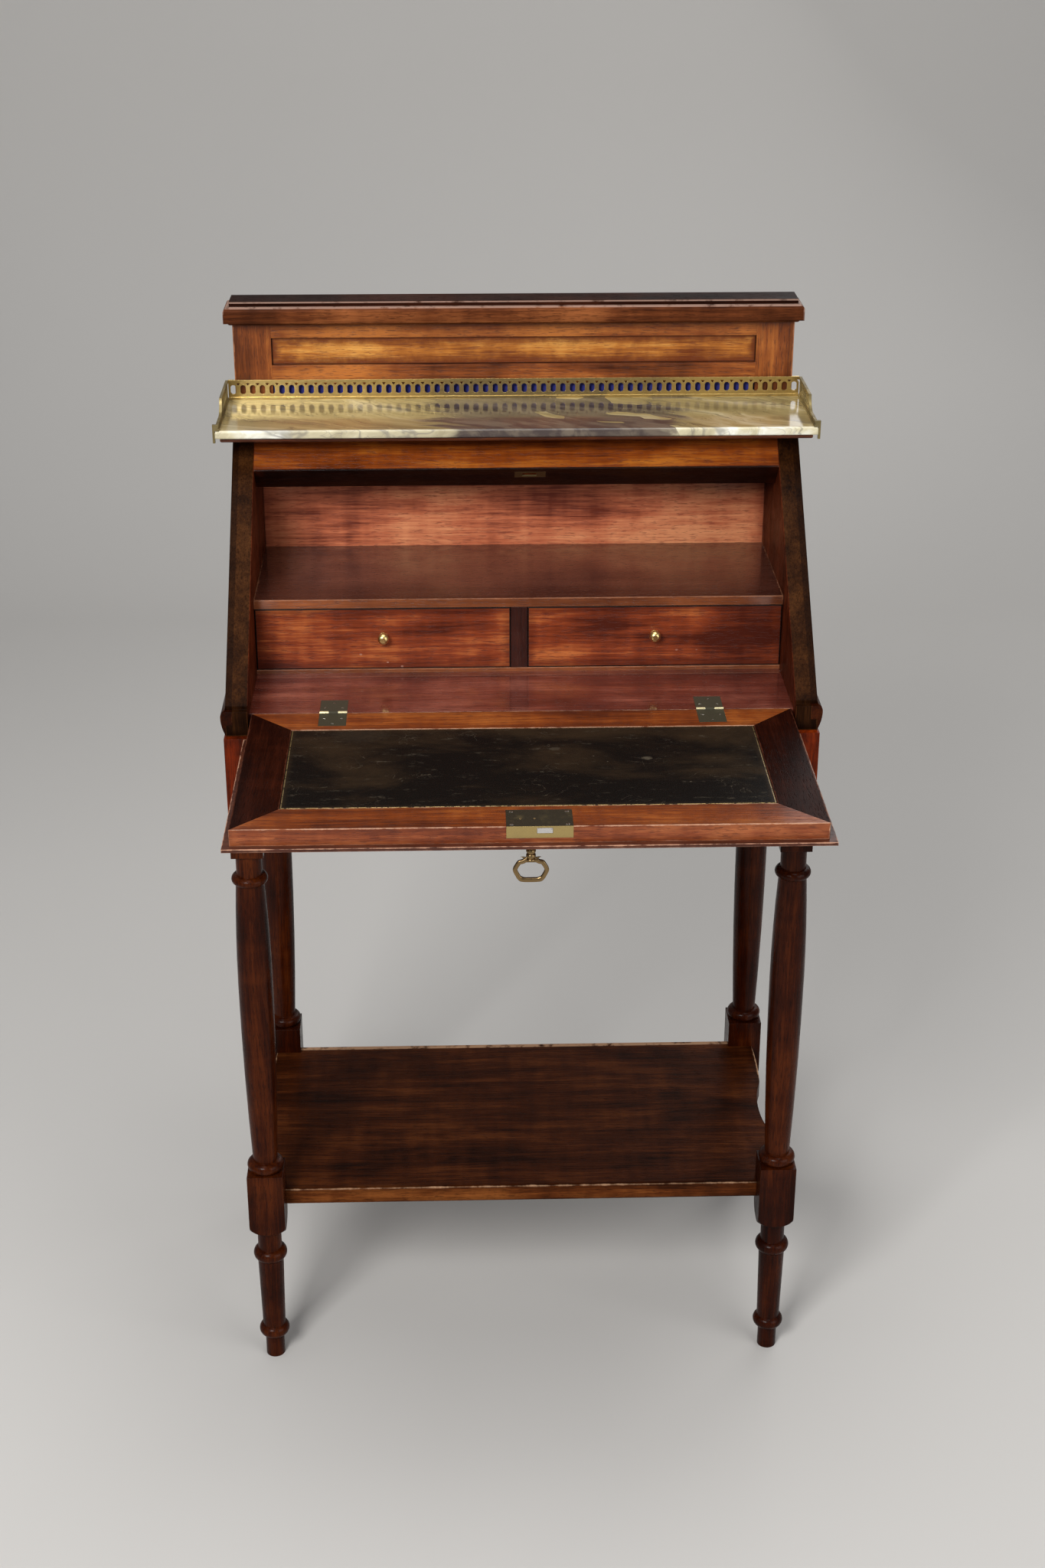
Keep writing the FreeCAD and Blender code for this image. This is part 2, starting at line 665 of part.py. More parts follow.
def make_leg(name, side, depth, grooved):
    """A turned leg with its shelf block and square top; back legs are grooved for the screen."""
    body = new_body(name, leg_x * side, depth)
    turned = new_sketch(body, "XZ_Plane", "turning")
    draw(turned, leg_profile())
    revolve(body, turned)
    square = new_sketch(body, "XY_Plane", "shelf_block", size.leg_block_bottom)
    half = size.leg_block / 2
    draw(square, rectangle((-half, half), (-half, half)))
    pad(body, square, size.leg_block_top - size.leg_block_bottom)
    post = new_sketch(body, "XY_Plane", "post", leg_post_bottom)
    post_half = size.leg_post / 2
    draw(post, rectangle((-post_half, post_half), (-post_half, post_half)))
    pad(body, post, waist_height - leg_post_bottom)
    shoulder = new_sketch(body, "XZ_Plane", "shoulder")
    corner = size.leg_block / Size.of(math.sqrt(2))
    root = size.ankle_neck_diameter / 2
    reach = corner - root
    far = corner + size.overrun
    low = size.leg_block_bottom - size.overrun
    quarter = reach * (1 - math.sqrt(0.5))
    draw(shoulder, [
        (root, size.leg_block_bottom, quarter),
        (corner, size.leg_block_bottom + reach),
        (far, size.leg_block_bottom + reach),
        (far, low),
        (root, low),
    ])
    DOC.recompute()
    before = body.Shape.Volume
    groove = revolve(body, shoulder, "PartDesign::Groove")
    DOC.recompute()
    if not groove.Shape.Volume < before:
        raise ValueError(f"{name}'s shoulder is not cut")
    if grooved:
        slot = new_sketch(body, "XY_Plane", "screen_groove", waist_height)
        inner_face = (leg_x - size.leg_post / 2 - size.overrun - leg_x) * side
        groove_end = (inner_half - leg_x) * side
        x_range = (inner_face, groove_end) if side > 0 else (groove_end, inner_face)
        gap = size.running_gap
        draw(slot, rectangle(x_range, (screen_face - depth - gap * 2, screen_rear - depth + gap)))
        pocket(body, slot, waist_height - leg_post_bottom)
    return node(name, body)


def make_lower_shelf():
    """The shelf between the legs' blocks, with lobed and hollowed ends."""
    half_block = size.leg_block / 2
    inner = leg_x - half_block
    outer = leg_x + size.shelf_reach
    front = size.shelf_set_in
    back = leg_span - size.shelf_set_in
    first = half_block
    second = half_block + size.shelf_lobe
    third = leg_span - half_block - size.shelf_lobe
    fourth = leg_span - half_block
    rise = size.shelf_lobe_rise
    right_end = [(outer, first, rise), (outer, second, -size.shelf_hollow), (outer, third, rise)]
    left_end = [(-outer, fourth, rise), (-outer, third, -size.shelf_hollow), (-outer, second, rise)]
    corners = [(-inner, front), (inner, front), (inner, first)]
    corners += right_end
    corners += [(outer, fourth), (inner, fourth), (inner, back), (-inner, back), (-inner, fourth)]
    corners += left_end
    corners += [(-outer, first), (-inner, first)]
    body = profile_body("lower_shelf", "XY_Plane", corners, size.shelf_thickness, z=size.shelf_bottom)

    def is_long_edge(edge):
        box = edge.BoundBox
        return box.XLength > inner.number and box.ZLength < size.seat_gap.number

    fillet_where(body, size.shelf_rounding, is_long_edge)
    return node("lower_shelf", body)


def make_aprons():
    """Boards between the legs' square tops; the front one is notched for the lopers."""
    notch_low = loper_bottom - size.seat_gap
    notch_in = loper_inner - size.running_gap
    notch_out = loper_outer + size.running_gap
    right_half = [
        (post_inner, apron_bottom),
        (post_inner, waist_height),
        (notch_out, waist_height),
        (notch_out, notch_low),
        (notch_in, notch_low),
        (notch_in, waist_height),
    ]
    left_half = [(-x, z) for x, z in reversed(right_half)]
    front = profile_body("apron_front", "XZ_Plane", right_half + left_half, size.apron_thickness,
                         y=apron_inside)
    node("apron_front", front)
    heights = (apron_bottom, waist_height)
    back_rear = leg_span + size.leg_post / 2
    back_range = (back_rear - size.back_apron_thickness, back_rear)
    node("apron_back", block("apron_back", (-post_inner, post_inner), back_range, heights))
    side_depths = (size.leg_post / 2, leg_span - size.leg_post / 2)
    for name, side in (("apron_left", -1), ("apron_right", 1)):
        x_range = mirrored_range(side, carcass_half - size.apron_thickness, carcass_half)
        node(name, block(name, x_range, side_depths, heights))
    rail_half = loper_inner - size.running_gap * 2
    rail_heights = (waist_height - size.front_rail_height, waist_height)
    rail = block("front_rail", (-rail_half, rail_half), (apron_inside, front_rail_rear), rail_heights)
    node("front_rail", rail)


def make_sides():
    """The case's two side boards, sloped in front and grooved for the waist mouldings."""
    corners = [
        (toe_face, waist_height),
        (case_back, waist_height),
        (case_back, case_height),
        (jamb_depth_at(case_height), case_height),
        (jamb_end, jamb_height_at(jamb_end)),
        (jamb_end, toe_top),
        (toe_face, toe_top),
    ]
    for side_name, side in (("left", -1), ("right", 1)):
        board = profile_body(f"side_{side_name}_board", "YZ_Plane", corners, size.side_thickness,
                             x=mirrored_range(side, inner_half, case_half)[0])
        groove = mirrored_range(side, case_half - size.waist_tongue_depth, case_half + size.overrun)
        depths = (toe_face - size.overrun, case_back + size.overrun)
        tool = block(f"waist_groove_{side_name}", groove, depths, (tongue_bottom, toe_top))
        node(f"side_{side_name}", cut(f"side_{side_name}", board, [tool]))


def make_waist_mouldings():
    """Rounded mouldings along the case's sides, let into them with a tongue."""
    top = waist_crest + size.waist_crown
    lower = arc_bulge(size.waist_rise, waist_crest - waist_height)
    upper = arc_bulge(size.waist_rise, size.waist_crown)
    tongue = -size.waist_tongue_depth
    outline = [
        (tongue, tongue_bottom),
        (ZERO, tongue_bottom),
        (ZERO, waist_height, lower),
        (size.waist_rise, waist_crest, upper),
        (ZERO, top),
        (ZERO, toe_top),
        (tongue, toe_top),
    ]
    mirrored = [(-x, z, *(-bulge for bulge in rest)) for x, z, *rest in outline]
    for name, side, corners in (("waist_moulding_left", -1, mirrored), ("waist_moulding_right", 1, outline)):
        body = profile_body(name, "XZ_Plane", corners, case_back - toe_face, case_half * side, case_back)
        node(name, body)


def make_writing_floor():
    """The fixed writing surface, let in for the hinges' leaves and knuckles."""
    front = size.hinge_setback + size.seat_gap
    board = block("floor_board", (-inner_half, inner_half), (front, inner_back_face),
                  (waist_height, size.writing_height))
    node("writing_floor", cut("writing_floor", board, hinge_recesses("floor", 1)))


def hinge_recesses(name, way):
    """Shapes that let both hinges into a board behind (1) or before (-1) the hinge line."""
    tools = []
    for side_name, side in (("left", -1), ("right", 1)):
        middle = hinge_middle * side
        x_range = (middle - size.hinge_width / 2, middle + size.hinge_width / 2)
        line = size.hinge_setback
        far = line + size.hinge_leaf * way
        y_range = (line, far) if way > 0 else (far, line)
        heights = (size.writing_height - size.hinge_sheet, size.writing_height + size.overrun)
        tools.append(block(f"{name}_leaf_recess_{side_name}", x_range, y_range, heights))
        scoop = new_body(f"{name}_knuckle_recess_{side_name}", x_range[0], line, size.writing_height)
        sketch = new_sketch(scoop, "YZ_Plane", "round")
        draw_circle(sketch, ZERO, ZERO, size.hinge_sheet + size.knuckle_gap)
        pad(scoop, sketch, size.hinge_width)
        tools.append(scoop)
    return tools


def make_case_inside():
    """The boards between the sides: inner back, back board, drawers' nest and top board."""
    full = (-inner_half, inner_half)
    inner_back = (inner_back_face, inner_back_rear)
    panel_heights = (apron_bottom + size.inner_back_rise, top_board_bottom)
    node("inner_back_panel", block("inner_back_panel", full, inner_back, panel_heights))
    node("case_back", block("case_back", full, (board_face, case_back), (waist_height, case_height)))
    nest = (nest_front, inner_back_face)
    node("nest_base", block("nest_base", full, nest, (size.writing_height, nest_base_top)))
    node("nest_shelf", block("nest_shelf", full, nest, (nest_shelf_bottom, nest_shelf_top)))
    half = size.nest_divider / 2
    node("nest_divider", block("nest_divider", (-half, half), nest, (nest_base_top, nest_shelf_bottom)))
    rail_rear = rail_back_depth()
    board_heights = (top_board_bottom, marble_under)
    node("top_board", block("top_board", full, (rail_rear, inner_back_rear), board_heights))


def rail_back_depth():
    """Where the slope rail's inner face meets the top board's underside."""
    outward = jamb_face - size.rail_depth
    along = (top_board_bottom - size.writing_height - outward * slope_cosine) / slope_sine
    return size.hinge_setback + along * slope_cosine - outward * slope_sine


def make_slope_rail():
    """The rail at the slope's top, cut for the strike plate and the bolt."""
    inner = jamb_face - size.rail_depth
    front_low = on_slope(rail_start, jamb_face)
    inner_low = on_slope(rail_start, inner)
    rear = rail_back_depth()
    corners = [
        front_low,
        inner_low,
        (rear, top_board_bottom),
        (rear, case_height),
        (jamb_depth_at(case_height), case_height),
    ]
    rail = profile_body("rail_board", "YZ_Plane", corners, inner_half * 2, x=-inner_half)
    recess = strike_prism("strike_recess", size.strike_offset, size.strike_width, size.strike_sheet,
                          strike_low(), strike_low() + size.strike_depth)
    hole_width = size.bolt_width + size.bolt_clearance * 4
    hole = strike_prism("bolt_recess", size.bolt_offset, hole_width, size.strike_hole_depth,
                        bolt_low(), bolt_high())
    node("slope_rail", cut("slope_rail", rail, [recess, hole]))
    plate = strike_prism("strike_sheet_metal", size.strike_offset, size.strike_width, size.strike_sheet,
                         strike_low(), strike_low() + size.strike_depth)
    slot = strike_prism("strike_slot", size.bolt_offset, hole_width, size.strike_hole_depth,
                        bolt_low(), bolt_high())
    node("strike_plate", cut("strike_plate", plate, [slot]))


def bolt_low():
    """The bolt hole's edge nearest the closed fall's inner face, outward of it."""
    return size.bolt_drop - size.bolt_clearance * 2


def bolt_high():
    """The bolt hole's other edge, outward of the closed fall's inner face."""
    return size.bolt_drop + size.bolt_height + size.bolt_clearance * 2


def strike_low():
    """The strike plate's edge nearest the closed fall's inner face."""
    return (bolt_low() + bolt_high() - size.strike_depth) / 2


def strike_prism(name, middle, width, depth, low, high):
    """A block let into the slope rail's lower face, square to the slope."""
    corners = [
        on_slope(rail_start, low),
        on_slope(rail_start + depth, low),
        on_slope(rail_start + depth, high),
        on_slope(rail_start, high),
    ]
    return profile_body(name, "YZ_Plane", corners, width, x=middle - width / 2)


def make_top_frame():
    """Three mitred mouldings under the marble, with rounded noses."""
    half = frame_half
    front = frame_front
    rail_rear = rail_back_depth()
    mitre = half - inner_half
    outlines = {
        "top_frame_front": [(-half, front), (half, front), (inner_half, front + mitre),
                            (inner_half, rail_rear), (-inner_half, rail_rear), (-inner_half, front + mitre)],
        "top_frame_right": [(inner_half, front + mitre), (half, front), (half, inner_back_rear),
                            (inner_half, inner_back_rear)],
        "top_frame_left": [(-half, front), (-inner_half, front + mitre), (-inner_half, inner_back_rear),
                           (-half, inner_back_rear)],
    }
    for name, corners in outlines.items():
        body = profile_body(name, "XY_Plane", corners, size.top_frame_thickness, z=case_height)
        on_nose = nose_test(half, front, name.endswith("front"))
        fillet_where(body, size.top_frame_thickness * NOSE_SHARE, on_nose)
        node(name, body)


def nose_test(half, front, is_front):
    """A test for the level edges along a moulding's front or outer face."""

    def chosen(edge):
        box = edge.BoundBox
        if box.ZLength > size.seat_gap.number:
            return False
        if is_front:
            return is_near(box.YMin, front.number) and is_near(box.YMax, front.number)
        return is_near(abs(box.XMin), half.number) and is_near(abs(box.XMax), half.number)

    return chosen


def make_marble():
    """The marble slab, with its upper edges eased at the front and the sides."""
    x_range = (-marble_half, marble_half)
    corners = rectangle(x_range, (marble_front, marble_back))
    body = profile_body("marble_top", "XY_Plane", corners, size.marble_thickness, z=marble_under)

    def is_upper_edge(edge):
        box = edge.BoundBox
        at_back = is_near(box.YMin, marble_back.number)
        return is_near(box.ZMin, size.marble_thickness.number) and not at_back

    fillet_where(body, size.marble_rounding, is_upper_edge)
    node("marble_top", body)


def gallery_openings(body, role, name, first, count, pitch, lift, thickness, axis_name):
    """Pierce a row of arches, with three-cornered holes between them, through the sheet."""
    sketch = new_sketch(body, role, name, lift)
    half = size.arch_width / 2
    flat = half * (1 - ARCH_CHAMFER_SHARE)
    low = size.arch_base
    high = size.arch_base + size.arch_height
    cant = half * ARCH_CHAMFER_SHARE
    draw(sketch, [
        (first - flat, low), (first + flat, low), (first + half, low + cant), (first + half, high - cant),
        (first + flat, high), (first - flat, high), (first - half, high - cant), (first - half, low + cant),
    ])
    middle = first + pitch / 2
    wing = size.spandrel_width / 2
    top = size.gallery_height - size.gallery_rail_height - size.gallery_sheet / 4
    draw(sketch, [(middle, top - size.spandrel_height), (middle + wing, top), (middle - wing, top)])
    cutter = pocket(body, sketch, thickness)
    row = body.newObject("PartDesign::LinearPattern", sketch.Name + "_row")
    row.Originals = [cutter]
    row.Direction = (sketch, [axis_name])
    bind(row, "Length", pitch * (count - 1))
    row.Occurrences = count
    body.Tip = row
    return row


def make_gallery():
    """The pierced gallery: a back run and two returns that scroll down to corner posts."""
    foot_half = size.gallery_foot_width / 2
    rail_half = size.gallery_rail_width / 2
    sheet_half = size.gallery_sheet / 2
    foot_top = size.gallery_foot_height
    rail_low = size.gallery_height - size.gallery_rail_height
    run_half = marble_half - size.gallery_inset - rail_half
    run_depth = marble_back - size.gallery_inset
    section = [
        (-foot_half, ZERO), (foot_half, ZERO), (foot_half, foot_top), (sheet_half, foot_top),
        (sheet_half, rail_low), (rail_half, rail_low), (rail_half, size.gallery_height),
        (-rail_half, size.gallery_height), (-rail_half, rail_low), (-sheet_half, rail_low),
        (-sheet_half, foot_top), (-foot_half, foot_top),
    ]
    back = new_body("gallery_back", -run_half, run_depth, marble_top)
    sketch = new_sketch(back, "YZ_Plane", "section")
    draw(sketch, section)
    pad(back, sketch, run_half * 2)
    pitch = run_half * 2 / GALLERY_OPENINGS
    gallery_openings(back, "XZ_Plane", "openings", pitch / 2, GALLERY_OPENINGS, pitch,
                     size.gallery_foot_width, size.gallery_foot_width * 2, "H_Axis")
    node("gallery_back", back)
    for name, side in (("gallery_left", -1), ("gallery_right", 1)):
        make_gallery_return(name, side, run_depth - rail_half, pitch)


def make_gallery_return(name, side, back, pitch):
    """One side of the gallery, from the back run to the post at the marble's front corner."""
    front = marble_front + size.seat_gap
    reach = back - front
    scroll_high = front + reach * SCROLL_START_SHARE
    scroll_low = front + reach * SCROLL_END_SHARE
    hollow = reach * SCROLL_HOLLOW_SHARE / 2
    top = size.gallery_height
    low_top = size.low_rail_height
    rail = size.gallery_rail_height
    middle = (marble_half - size.gallery_inset) * side
    body = new_body(name, middle, ZERO, marble_top)
    sheet = new_sketch(body, "YZ_Plane", "sheet", -size.gallery_sheet / 2)
    draw(sheet, [(front, ZERO), (back, ZERO), (back, top), (scroll_high, top, -hollow / 2),
                 (scroll_low, low_top), (front, low_top)])
    pad(body, sheet, size.gallery_sheet)
    count = GALLERY_SIDE_OPENINGS
    first = back - pitch * (count - 0.5)
    gallery_openings(body, "YZ_Plane", "openings", first, count, pitch,
                     size.gallery_sheet * 2, size.gallery_sheet * 4, "H_Axis")
    rim = new_sketch(body, "YZ_Plane", "rim", -size.gallery_rail_width / 2)
    draw(rim, [(back, top - rail), (back, top), (scroll_high, top, -hollow / 2), (scroll_low, low_top),
               (front, low_top), (front, low_top - rail),
               (scroll_low + rail / 2, low_top - rail, hollow / 2), (scroll_high + rail / 2, top - rail)])
    pad(body, rim, size.gallery_rail_width)
    foot = new_sketch(body, "YZ_Plane", "foot", -size.gallery_foot_width / 2)
    foot_back = back - (size.gallery_foot_width - size.gallery_rail_width) / 2
    draw(foot, rectangle((front, foot_back), (ZERO, size.gallery_foot_height)))
    pad(body, foot, size.gallery_foot_width)
    edge = size.gallery_inset * side
    outer = (size.gallery_inset + size.gallery_post_width) * side
    bridge = new_sketch(body, "XY_Plane", "bridge")
    post_depths = (front, front + size.gallery_post)
    draw(bridge, rectangle((ZERO, outer) if side > 0 else (outer, ZERO), post_depths))
    pad(body, bridge, low_top)
    post = new_sketch(body, "XY_Plane", "post", low_top)
    draw(post, rectangle((edge, outer) if side > 0 else (outer, edge), post_depths))
    pad(body, post, low_top + size.gallery_post_drop, reverse=True)
    node(name, body)


def make_screen():
    """The rising screen: shouldered frame, upper panel, cloth field and moulded cap."""
    shoulder = case_height + size.seat_gap
    outer = screen_half
    narrow = inner_half - size.running_gap
    inner = screen_half - size.screen_stile
    stiles = []
    for side_name, side in (("left", -1), ("right", 1)):
        corners = [
            (inner * side, screen_bottom), (narrow * side, screen_bottom),
            (narrow * side, shoulder), (outer * side, shoulder),
            (outer * side, cap_bottom), (inner * side, cap_bottom),
        ]
        corners = corners if side > 0 else corners[::-1]
        stiles.append(profile_body(f"screen_stile_{side_name}", "XZ_Plane", corners, size.screen_thickness,
                                   y=screen_rear))
    rail_top = panel_bottom
    low_rail_top = screen_bottom + size.screen_bottom_rail
    depths = (screen_face, screen_rear)
    width = (-inner, inner)
    rails = [
        block("screen_top_rail", width, depths, (panel_top, cap_bottom)),
        block("screen_middle_rail", width, depths, (rail_top - size.screen_rail, rail_top)),
        block("screen_low_rail", width, depths, (screen_bottom, low_rail_top)),
    ]
    node("screen_frame", group("screen_frame", stiles + rails))
    panel_face = screen_face + size.screen_panel_recess
    panel_depths = (panel_face, panel_face + size.screen_panel_thickness)
    node("screen_panel", block("screen_panel", width, panel_depths, (rail_top, panel_top)))
    cloth_face = screen_face + size.cloth_recess
    cloth_heights = (low_rail_top, rail_top - size.screen_rail)
    cloth_depths = (cloth_face, cloth_face + size.cloth_thickness)
    node("screen_cloth", block("screen_cloth", width, cloth_depths, cloth_heights))
    make_cap()


def cap_profile(half_width):
    """Half outline of the cap, seen along one of its sides, out to a half width."""
    bed = half_width - size.cap_bed_inset
    bed_top = cap_bottom + size.cap_bed_height
    face_top = bed_top + size.cap_face_height
    top = half_width - size.cap_top_inset
    round_top = face_top + size.cap_round_height
    cap_round = size.cap_round_height * CAP_ROUND_SHARE
    bed_round = size.cap_bed_height / 4
    return [(bed - size.cap_bed_height, cap_bottom, bed_round), (bed, bed_top), (half_width, bed_top),
            (half_width, face_top, cap_round), (top, round_top), (top, total_height)]


def mirrored_outline(half):
    """The other half of an outline, so that the two together go round once."""
    bulges = [corner[2:] for corner in reversed(half[:-1])] + [()]
    return [(-corner[0], corner[1], *bulge) for corner, bulge in zip(reversed(half), bulges)]


def make_cap():
    """The cap: one moulding profile runs round all four sides and meets itself at mitres."""
    half_width = screen_half + size.cap_overhang_side
    half_depth = size.screen_thickness / 2 + size.cap_overhang_front
    middle = (screen_face + screen_rear) / 2
    shapes = []
    for name, role, reach, across in (("cap_across", "XZ_Plane", half_width, half_depth),
                                      ("cap_along", "YZ_Plane", half_depth, half_width)):
        right = cap_profile(reach)
        left = mirrored_outline(right)
        if name == "cap_across":
            body = new_body(name, ZERO, middle + across)
        else:
            body = new_body(name, -across, middle)
        sketch = new_sketch(body, role, "outline")
        draw(sketch, right + left)
        pad(body, sketch, across * 2)
        shapes.append(body)
    cap = DOC.addObject("Part::MultiCommon", "screen_cap")
    cap.Shapes = shapes
    node("screen_cap", cap)


def make_fall():
    """The fall: mitred frame, core, leather, thin lip, hinges' leaves and lock."""
    rear = size.hinge_setback - size.seat_gap
    inner_rear = size.hinge_setback - size.fall_frame
    inner_front = fall_front + size.fall_frame
    outlines = {
        "fall_rail_back": [(-fall_half, rear), (-panel_half, inner_rear), (panel_half, inner_rear),
                           (fall_half, rear)],
        "fall_rail_left": [(-fall_half, fall_front), (-panel_half, inner_front), (-panel_half, inner_rear),
                           (-fall_half, rear)],
        "fall_rail_right": [(fall_half, fall_front), (fall_half, rear), (panel_half, inner_rear),
                            (panel_half, inner_front)],
        "fall_rail_front": [(-fall_half, fall_front), (fall_half, fall_front), (panel_half, inner_front),
                            (-panel_half, inner_front)],
    }
    rails = {name: profile_body(name + "_wood", "XY_Plane", corners, size.fall_thickness, z=fall_under)
             for name, corners in outlines.items()}
    node("fall_rail_left", rails["fall_rail_left"])
    node("fall_rail_right", rails["fall_rail_right"])
    node("fall_rail_back", cut("fall_rail_back", rails["fall_rail_back"], hinge_recesses("fall", -1)))
    node("fall_rail_front", cut("fall_rail_front", rails["fall_rail_front"], lock_recesses()))
    field = (-panel_half, panel_half), (inner_front, inner_rear)
    node("fall_core", block("fall_core", *field, (fall_under, leather_under)))
    node("fall_leather", block("fall_leather", *field, (leather_under, size.writing_height)))
    make_lip()


def make_lip():
    """Three mitred strips on the fall's outer face, standing past its front and sides."""
    outer = fall_half + size.lip_overhang
    inner = fall_half - size.lip_lap
    start = size.hinge_setback - lip_start
    inner_front = fall_front + size.lip_lap
    outlines = [
        [(-outer, lip_front), (outer, lip_front), (inner, inner_front), (-inner, inner_front)],
        [(outer, lip_front), (outer, start), (inner, start), (inner, inner_front)],
        [(-outer, lip_front), (-inner, inner_front), (-inner, start), (-outer, start)],
    ]
    strips = [profile_body(f"lip_strip_{index}", "XY_Plane", corners, size.lip_thickness, z=lip_under)
              for index, corners in enumerate(outlines)]
    node("fall_lip", group("fall_lip", strips))


def hinge_leaf(name, side, way):
    """A hinge leaf with its knuckles, behind (1) or before (-1) the hinge line."""
    body = new_body(name, hinge_middle * side - size.hinge_width / 2, size.hinge_setback,
                    size.writing_height)
    radius = size.hinge_sheet
    corners = [
        (size.hinge_leaf, -radius), (size.hinge_leaf, ZERO), (radius, ZERO, radius),
        (-radius, ZERO, radius * (1 - math.sqrt(0.5))), (ZERO, -radius),
    ]
    if way < 0:
        corners = [(-corner[0], corner[1], *(-extra for extra in corner[2:])) for corner in corners]
    outline = new_sketch(body, "YZ_Plane", "section")
    draw(outline, corners)
    pad(body, outline, size.hinge_width)
    knuckle = size.hinge_width / HINGE_KNUCKLES
    reach = radius + size.knuckle_gap
    first = 1 if way > 0 else 0
    for index in range(first, HINGE_KNUCKLES, 2):
        gap = new_sketch(body, "XY_Plane", f"gap_{index}", radius + size.overrun)
        low = knuckle * index - size.knuckle_gap / 2
        high = knuckle * (index + 1) + size.knuckle_gap / 2
        draw(gap, rectangle((low, high), (-reach, reach)))
        pocket(body, gap, (radius + size.overrun) * 2)
    bore = new_sketch(body, "YZ_Plane", "bore", size.hinge_width + size.overrun)
    draw_circle(bore, ZERO, ZERO, size.hinge_pin_diameter / 2 + size.pin_clearance)
    pocket(body, bore, size.hinge_width + size.overrun * 2)
    holes = new_sketch(body, "XY_Plane", "screw_holes", size.overrun)
    for along_share, across_share in HINGE_SCREW_SHARES:
        across = size.hinge_width / 2 + size.hinge_width * across_share
        along = size.hinge_leaf * along_share * way
        draw_circle(holes, across, along, size.screw_hole_diameter / 2)
    pocket(body, holes, size.overrun * 2 + size.hinge_sheet)
    return body


def make_hinges():
    """Two back-flap hinges: leaves in the floor, leaves in the fall, and their pins."""
    for suffix, way in (("floor", 1), ("fall", -1)):
        leaves = [hinge_leaf(f"hinge_{suffix}_left", -1, way), hinge_leaf(f"hinge_{suffix}_right", 1, way)]
        node(f"hinge_leaves_{suffix}", group(f"hinge_leaves_{suffix}", leaves))
    pins = []
    for side, sign in (("left", -1), ("right", 1)):
        left = hinge_middle * sign - size.hinge_width / 2
        pin = new_body(f"hinge_pin_{side}", left, size.hinge_setback, size.writing_height)
        sketch = new_sketch(pin, "YZ_Plane", "round")
        draw_circle(sketch, ZERO, ZERO, size.hinge_pin_diameter / 2)
        pad(pin, sketch, size.hinge_width)
        pins.append(pin)
    node("hinge_pins", group("hinge_pins", pins))


def lock_ranges():
    """The lock's cover plate, face plate, case and case hollow, as ranges of X, Y and Z."""
    top = size.writing_height
    wide = (size.lock_offset - size.lock_width / 2, size.lock_offset + size.lock_width / 2)
    narrow = (size.lock_offset - size.lock_case_width / 2, size.lock_offset + size.lock_case_width / 2)
    wall = size.lock_case_wall
    cover = (wide, (fall_front, fall_front + size.lock_depth), (top - size.lock_sheet, top))
    face = (wide, (fall_front, fall_front + size.lock_sheet), (lock_case_bottom, top))
    case = (narrow, (fall_front, fall_front + size.lock_case_depth), (lock_case_bottom, top))
    hollow = ((narrow[0] + wall, narrow[1] - wall),
              (fall_front + size.lock_sheet, fall_front + size.lock_case_depth - wall),
              (lock_case_bottom + wall, top - size.lock_sheet))
    return cover, face, case, hollow


def lock_recesses():
    """Shapes that let the lock, the escutcheon and the key into the fall's front rail."""
    cover, face, case, _ = lock_ranges()
    tools = []
    for name, (x_range, y_range, z_range) in (("cover", cover), ("face", face), ("case", case)):
        depths = (fall_front - size.overrun, y_range[1])
        heights = (z_range[0], size.writing_height + size.overrun)
        tools.append(block(f"lock_{name}_recess", x_range, depths, heights))
    tools += keyhole("wood_keyhole", fall_under - size.overrun, lock_case_bottom + size.overrun)
    return tools


def keyhole(name, low, high):
    """A round hole with a slot behind it for the key's bit, between two heights."""
    depth = fall_front + size.key_setback
    round_hole = new_body(name + "_round", size.key_offset, depth, low)
    sketch = new_sketch(round_hole, "XY_Plane", "round")
    draw_circle(sketch, ZERO, ZERO, size.key_stem_diameter / 2 + size.key_clearance)
    pad(round_hole, sketch, high - low)
    half = size.key_bit_thickness / 2 + size.key_clearance
    reach = size.key_bit_reach + size.key_clearance
    width = (size.key_offset - half, size.key_offset + half)
    slot = block(name + "_slot", width, (depth, depth + reach), (low, high))
    return [round_hole, slot]


def make_lock():
    """The lock: hollow case with its plates and drill pin, bolt, and escutcheon."""
    cover, face, case, hollow = lock_ranges()
    plates = [block("lock_cover", *cover), block("lock_face", *face)]
    solid = joined("lock_outer", plates + [block("lock_box", *case)])
    inside = block("lock_hollow", *hollow)
    gap = size.bolt_clearance
    half = size.bolt_width / 2
    upper = size.writing_height - size.bolt_drop
    slot = block("lock_bolt_slot", (size.bolt_offset - half - gap, size.bolt_offset + half + gap),
                 (fall_front - size.overrun, fall_front + size.lock_sheet + size.overrun),
                 (upper - size.bolt_height - gap, upper + gap))
    holes = keyhole("lock_keyhole", lock_case_bottom - size.overrun, lock_case_bottom + size.overrun)
    shell = cut("lock_shell", solid, [inside, slot] + holes)
    pin_low = key_bit_top() - key_engaged()
    pin = new_body("lock_drill_pin", size.key_offset, fall_front + size.key_setback, pin_low)
    sketch = new_sketch(pin, "XY_Plane", "round")
    draw_circle(sketch, ZERO, ZERO, size.key_bore_diameter / 2 - size.drill_pin_clearance)
    pad(pin, sketch, size.writing_height - size.lock_sheet / 2 - key_bit_top() + key_engaged())
    node("lock", joined("lock", [shell, pin]))
    bolt_depths = (fall_front, fall_front + size.bolt_length)
    bolt = block("lock_bolt", (size.bolt_offset - half, size.bolt_offset + half), bolt_depths,
                 (upper - size.bolt_height, upper))
    node("lock_bolt", bolt)
    make_escutcheon()


def key_bit_top():
    """The top of the key's stem and bit, just under the bolt."""
    return size.writing_height - size.bolt_drop - size.bolt_height - size.seat_gap


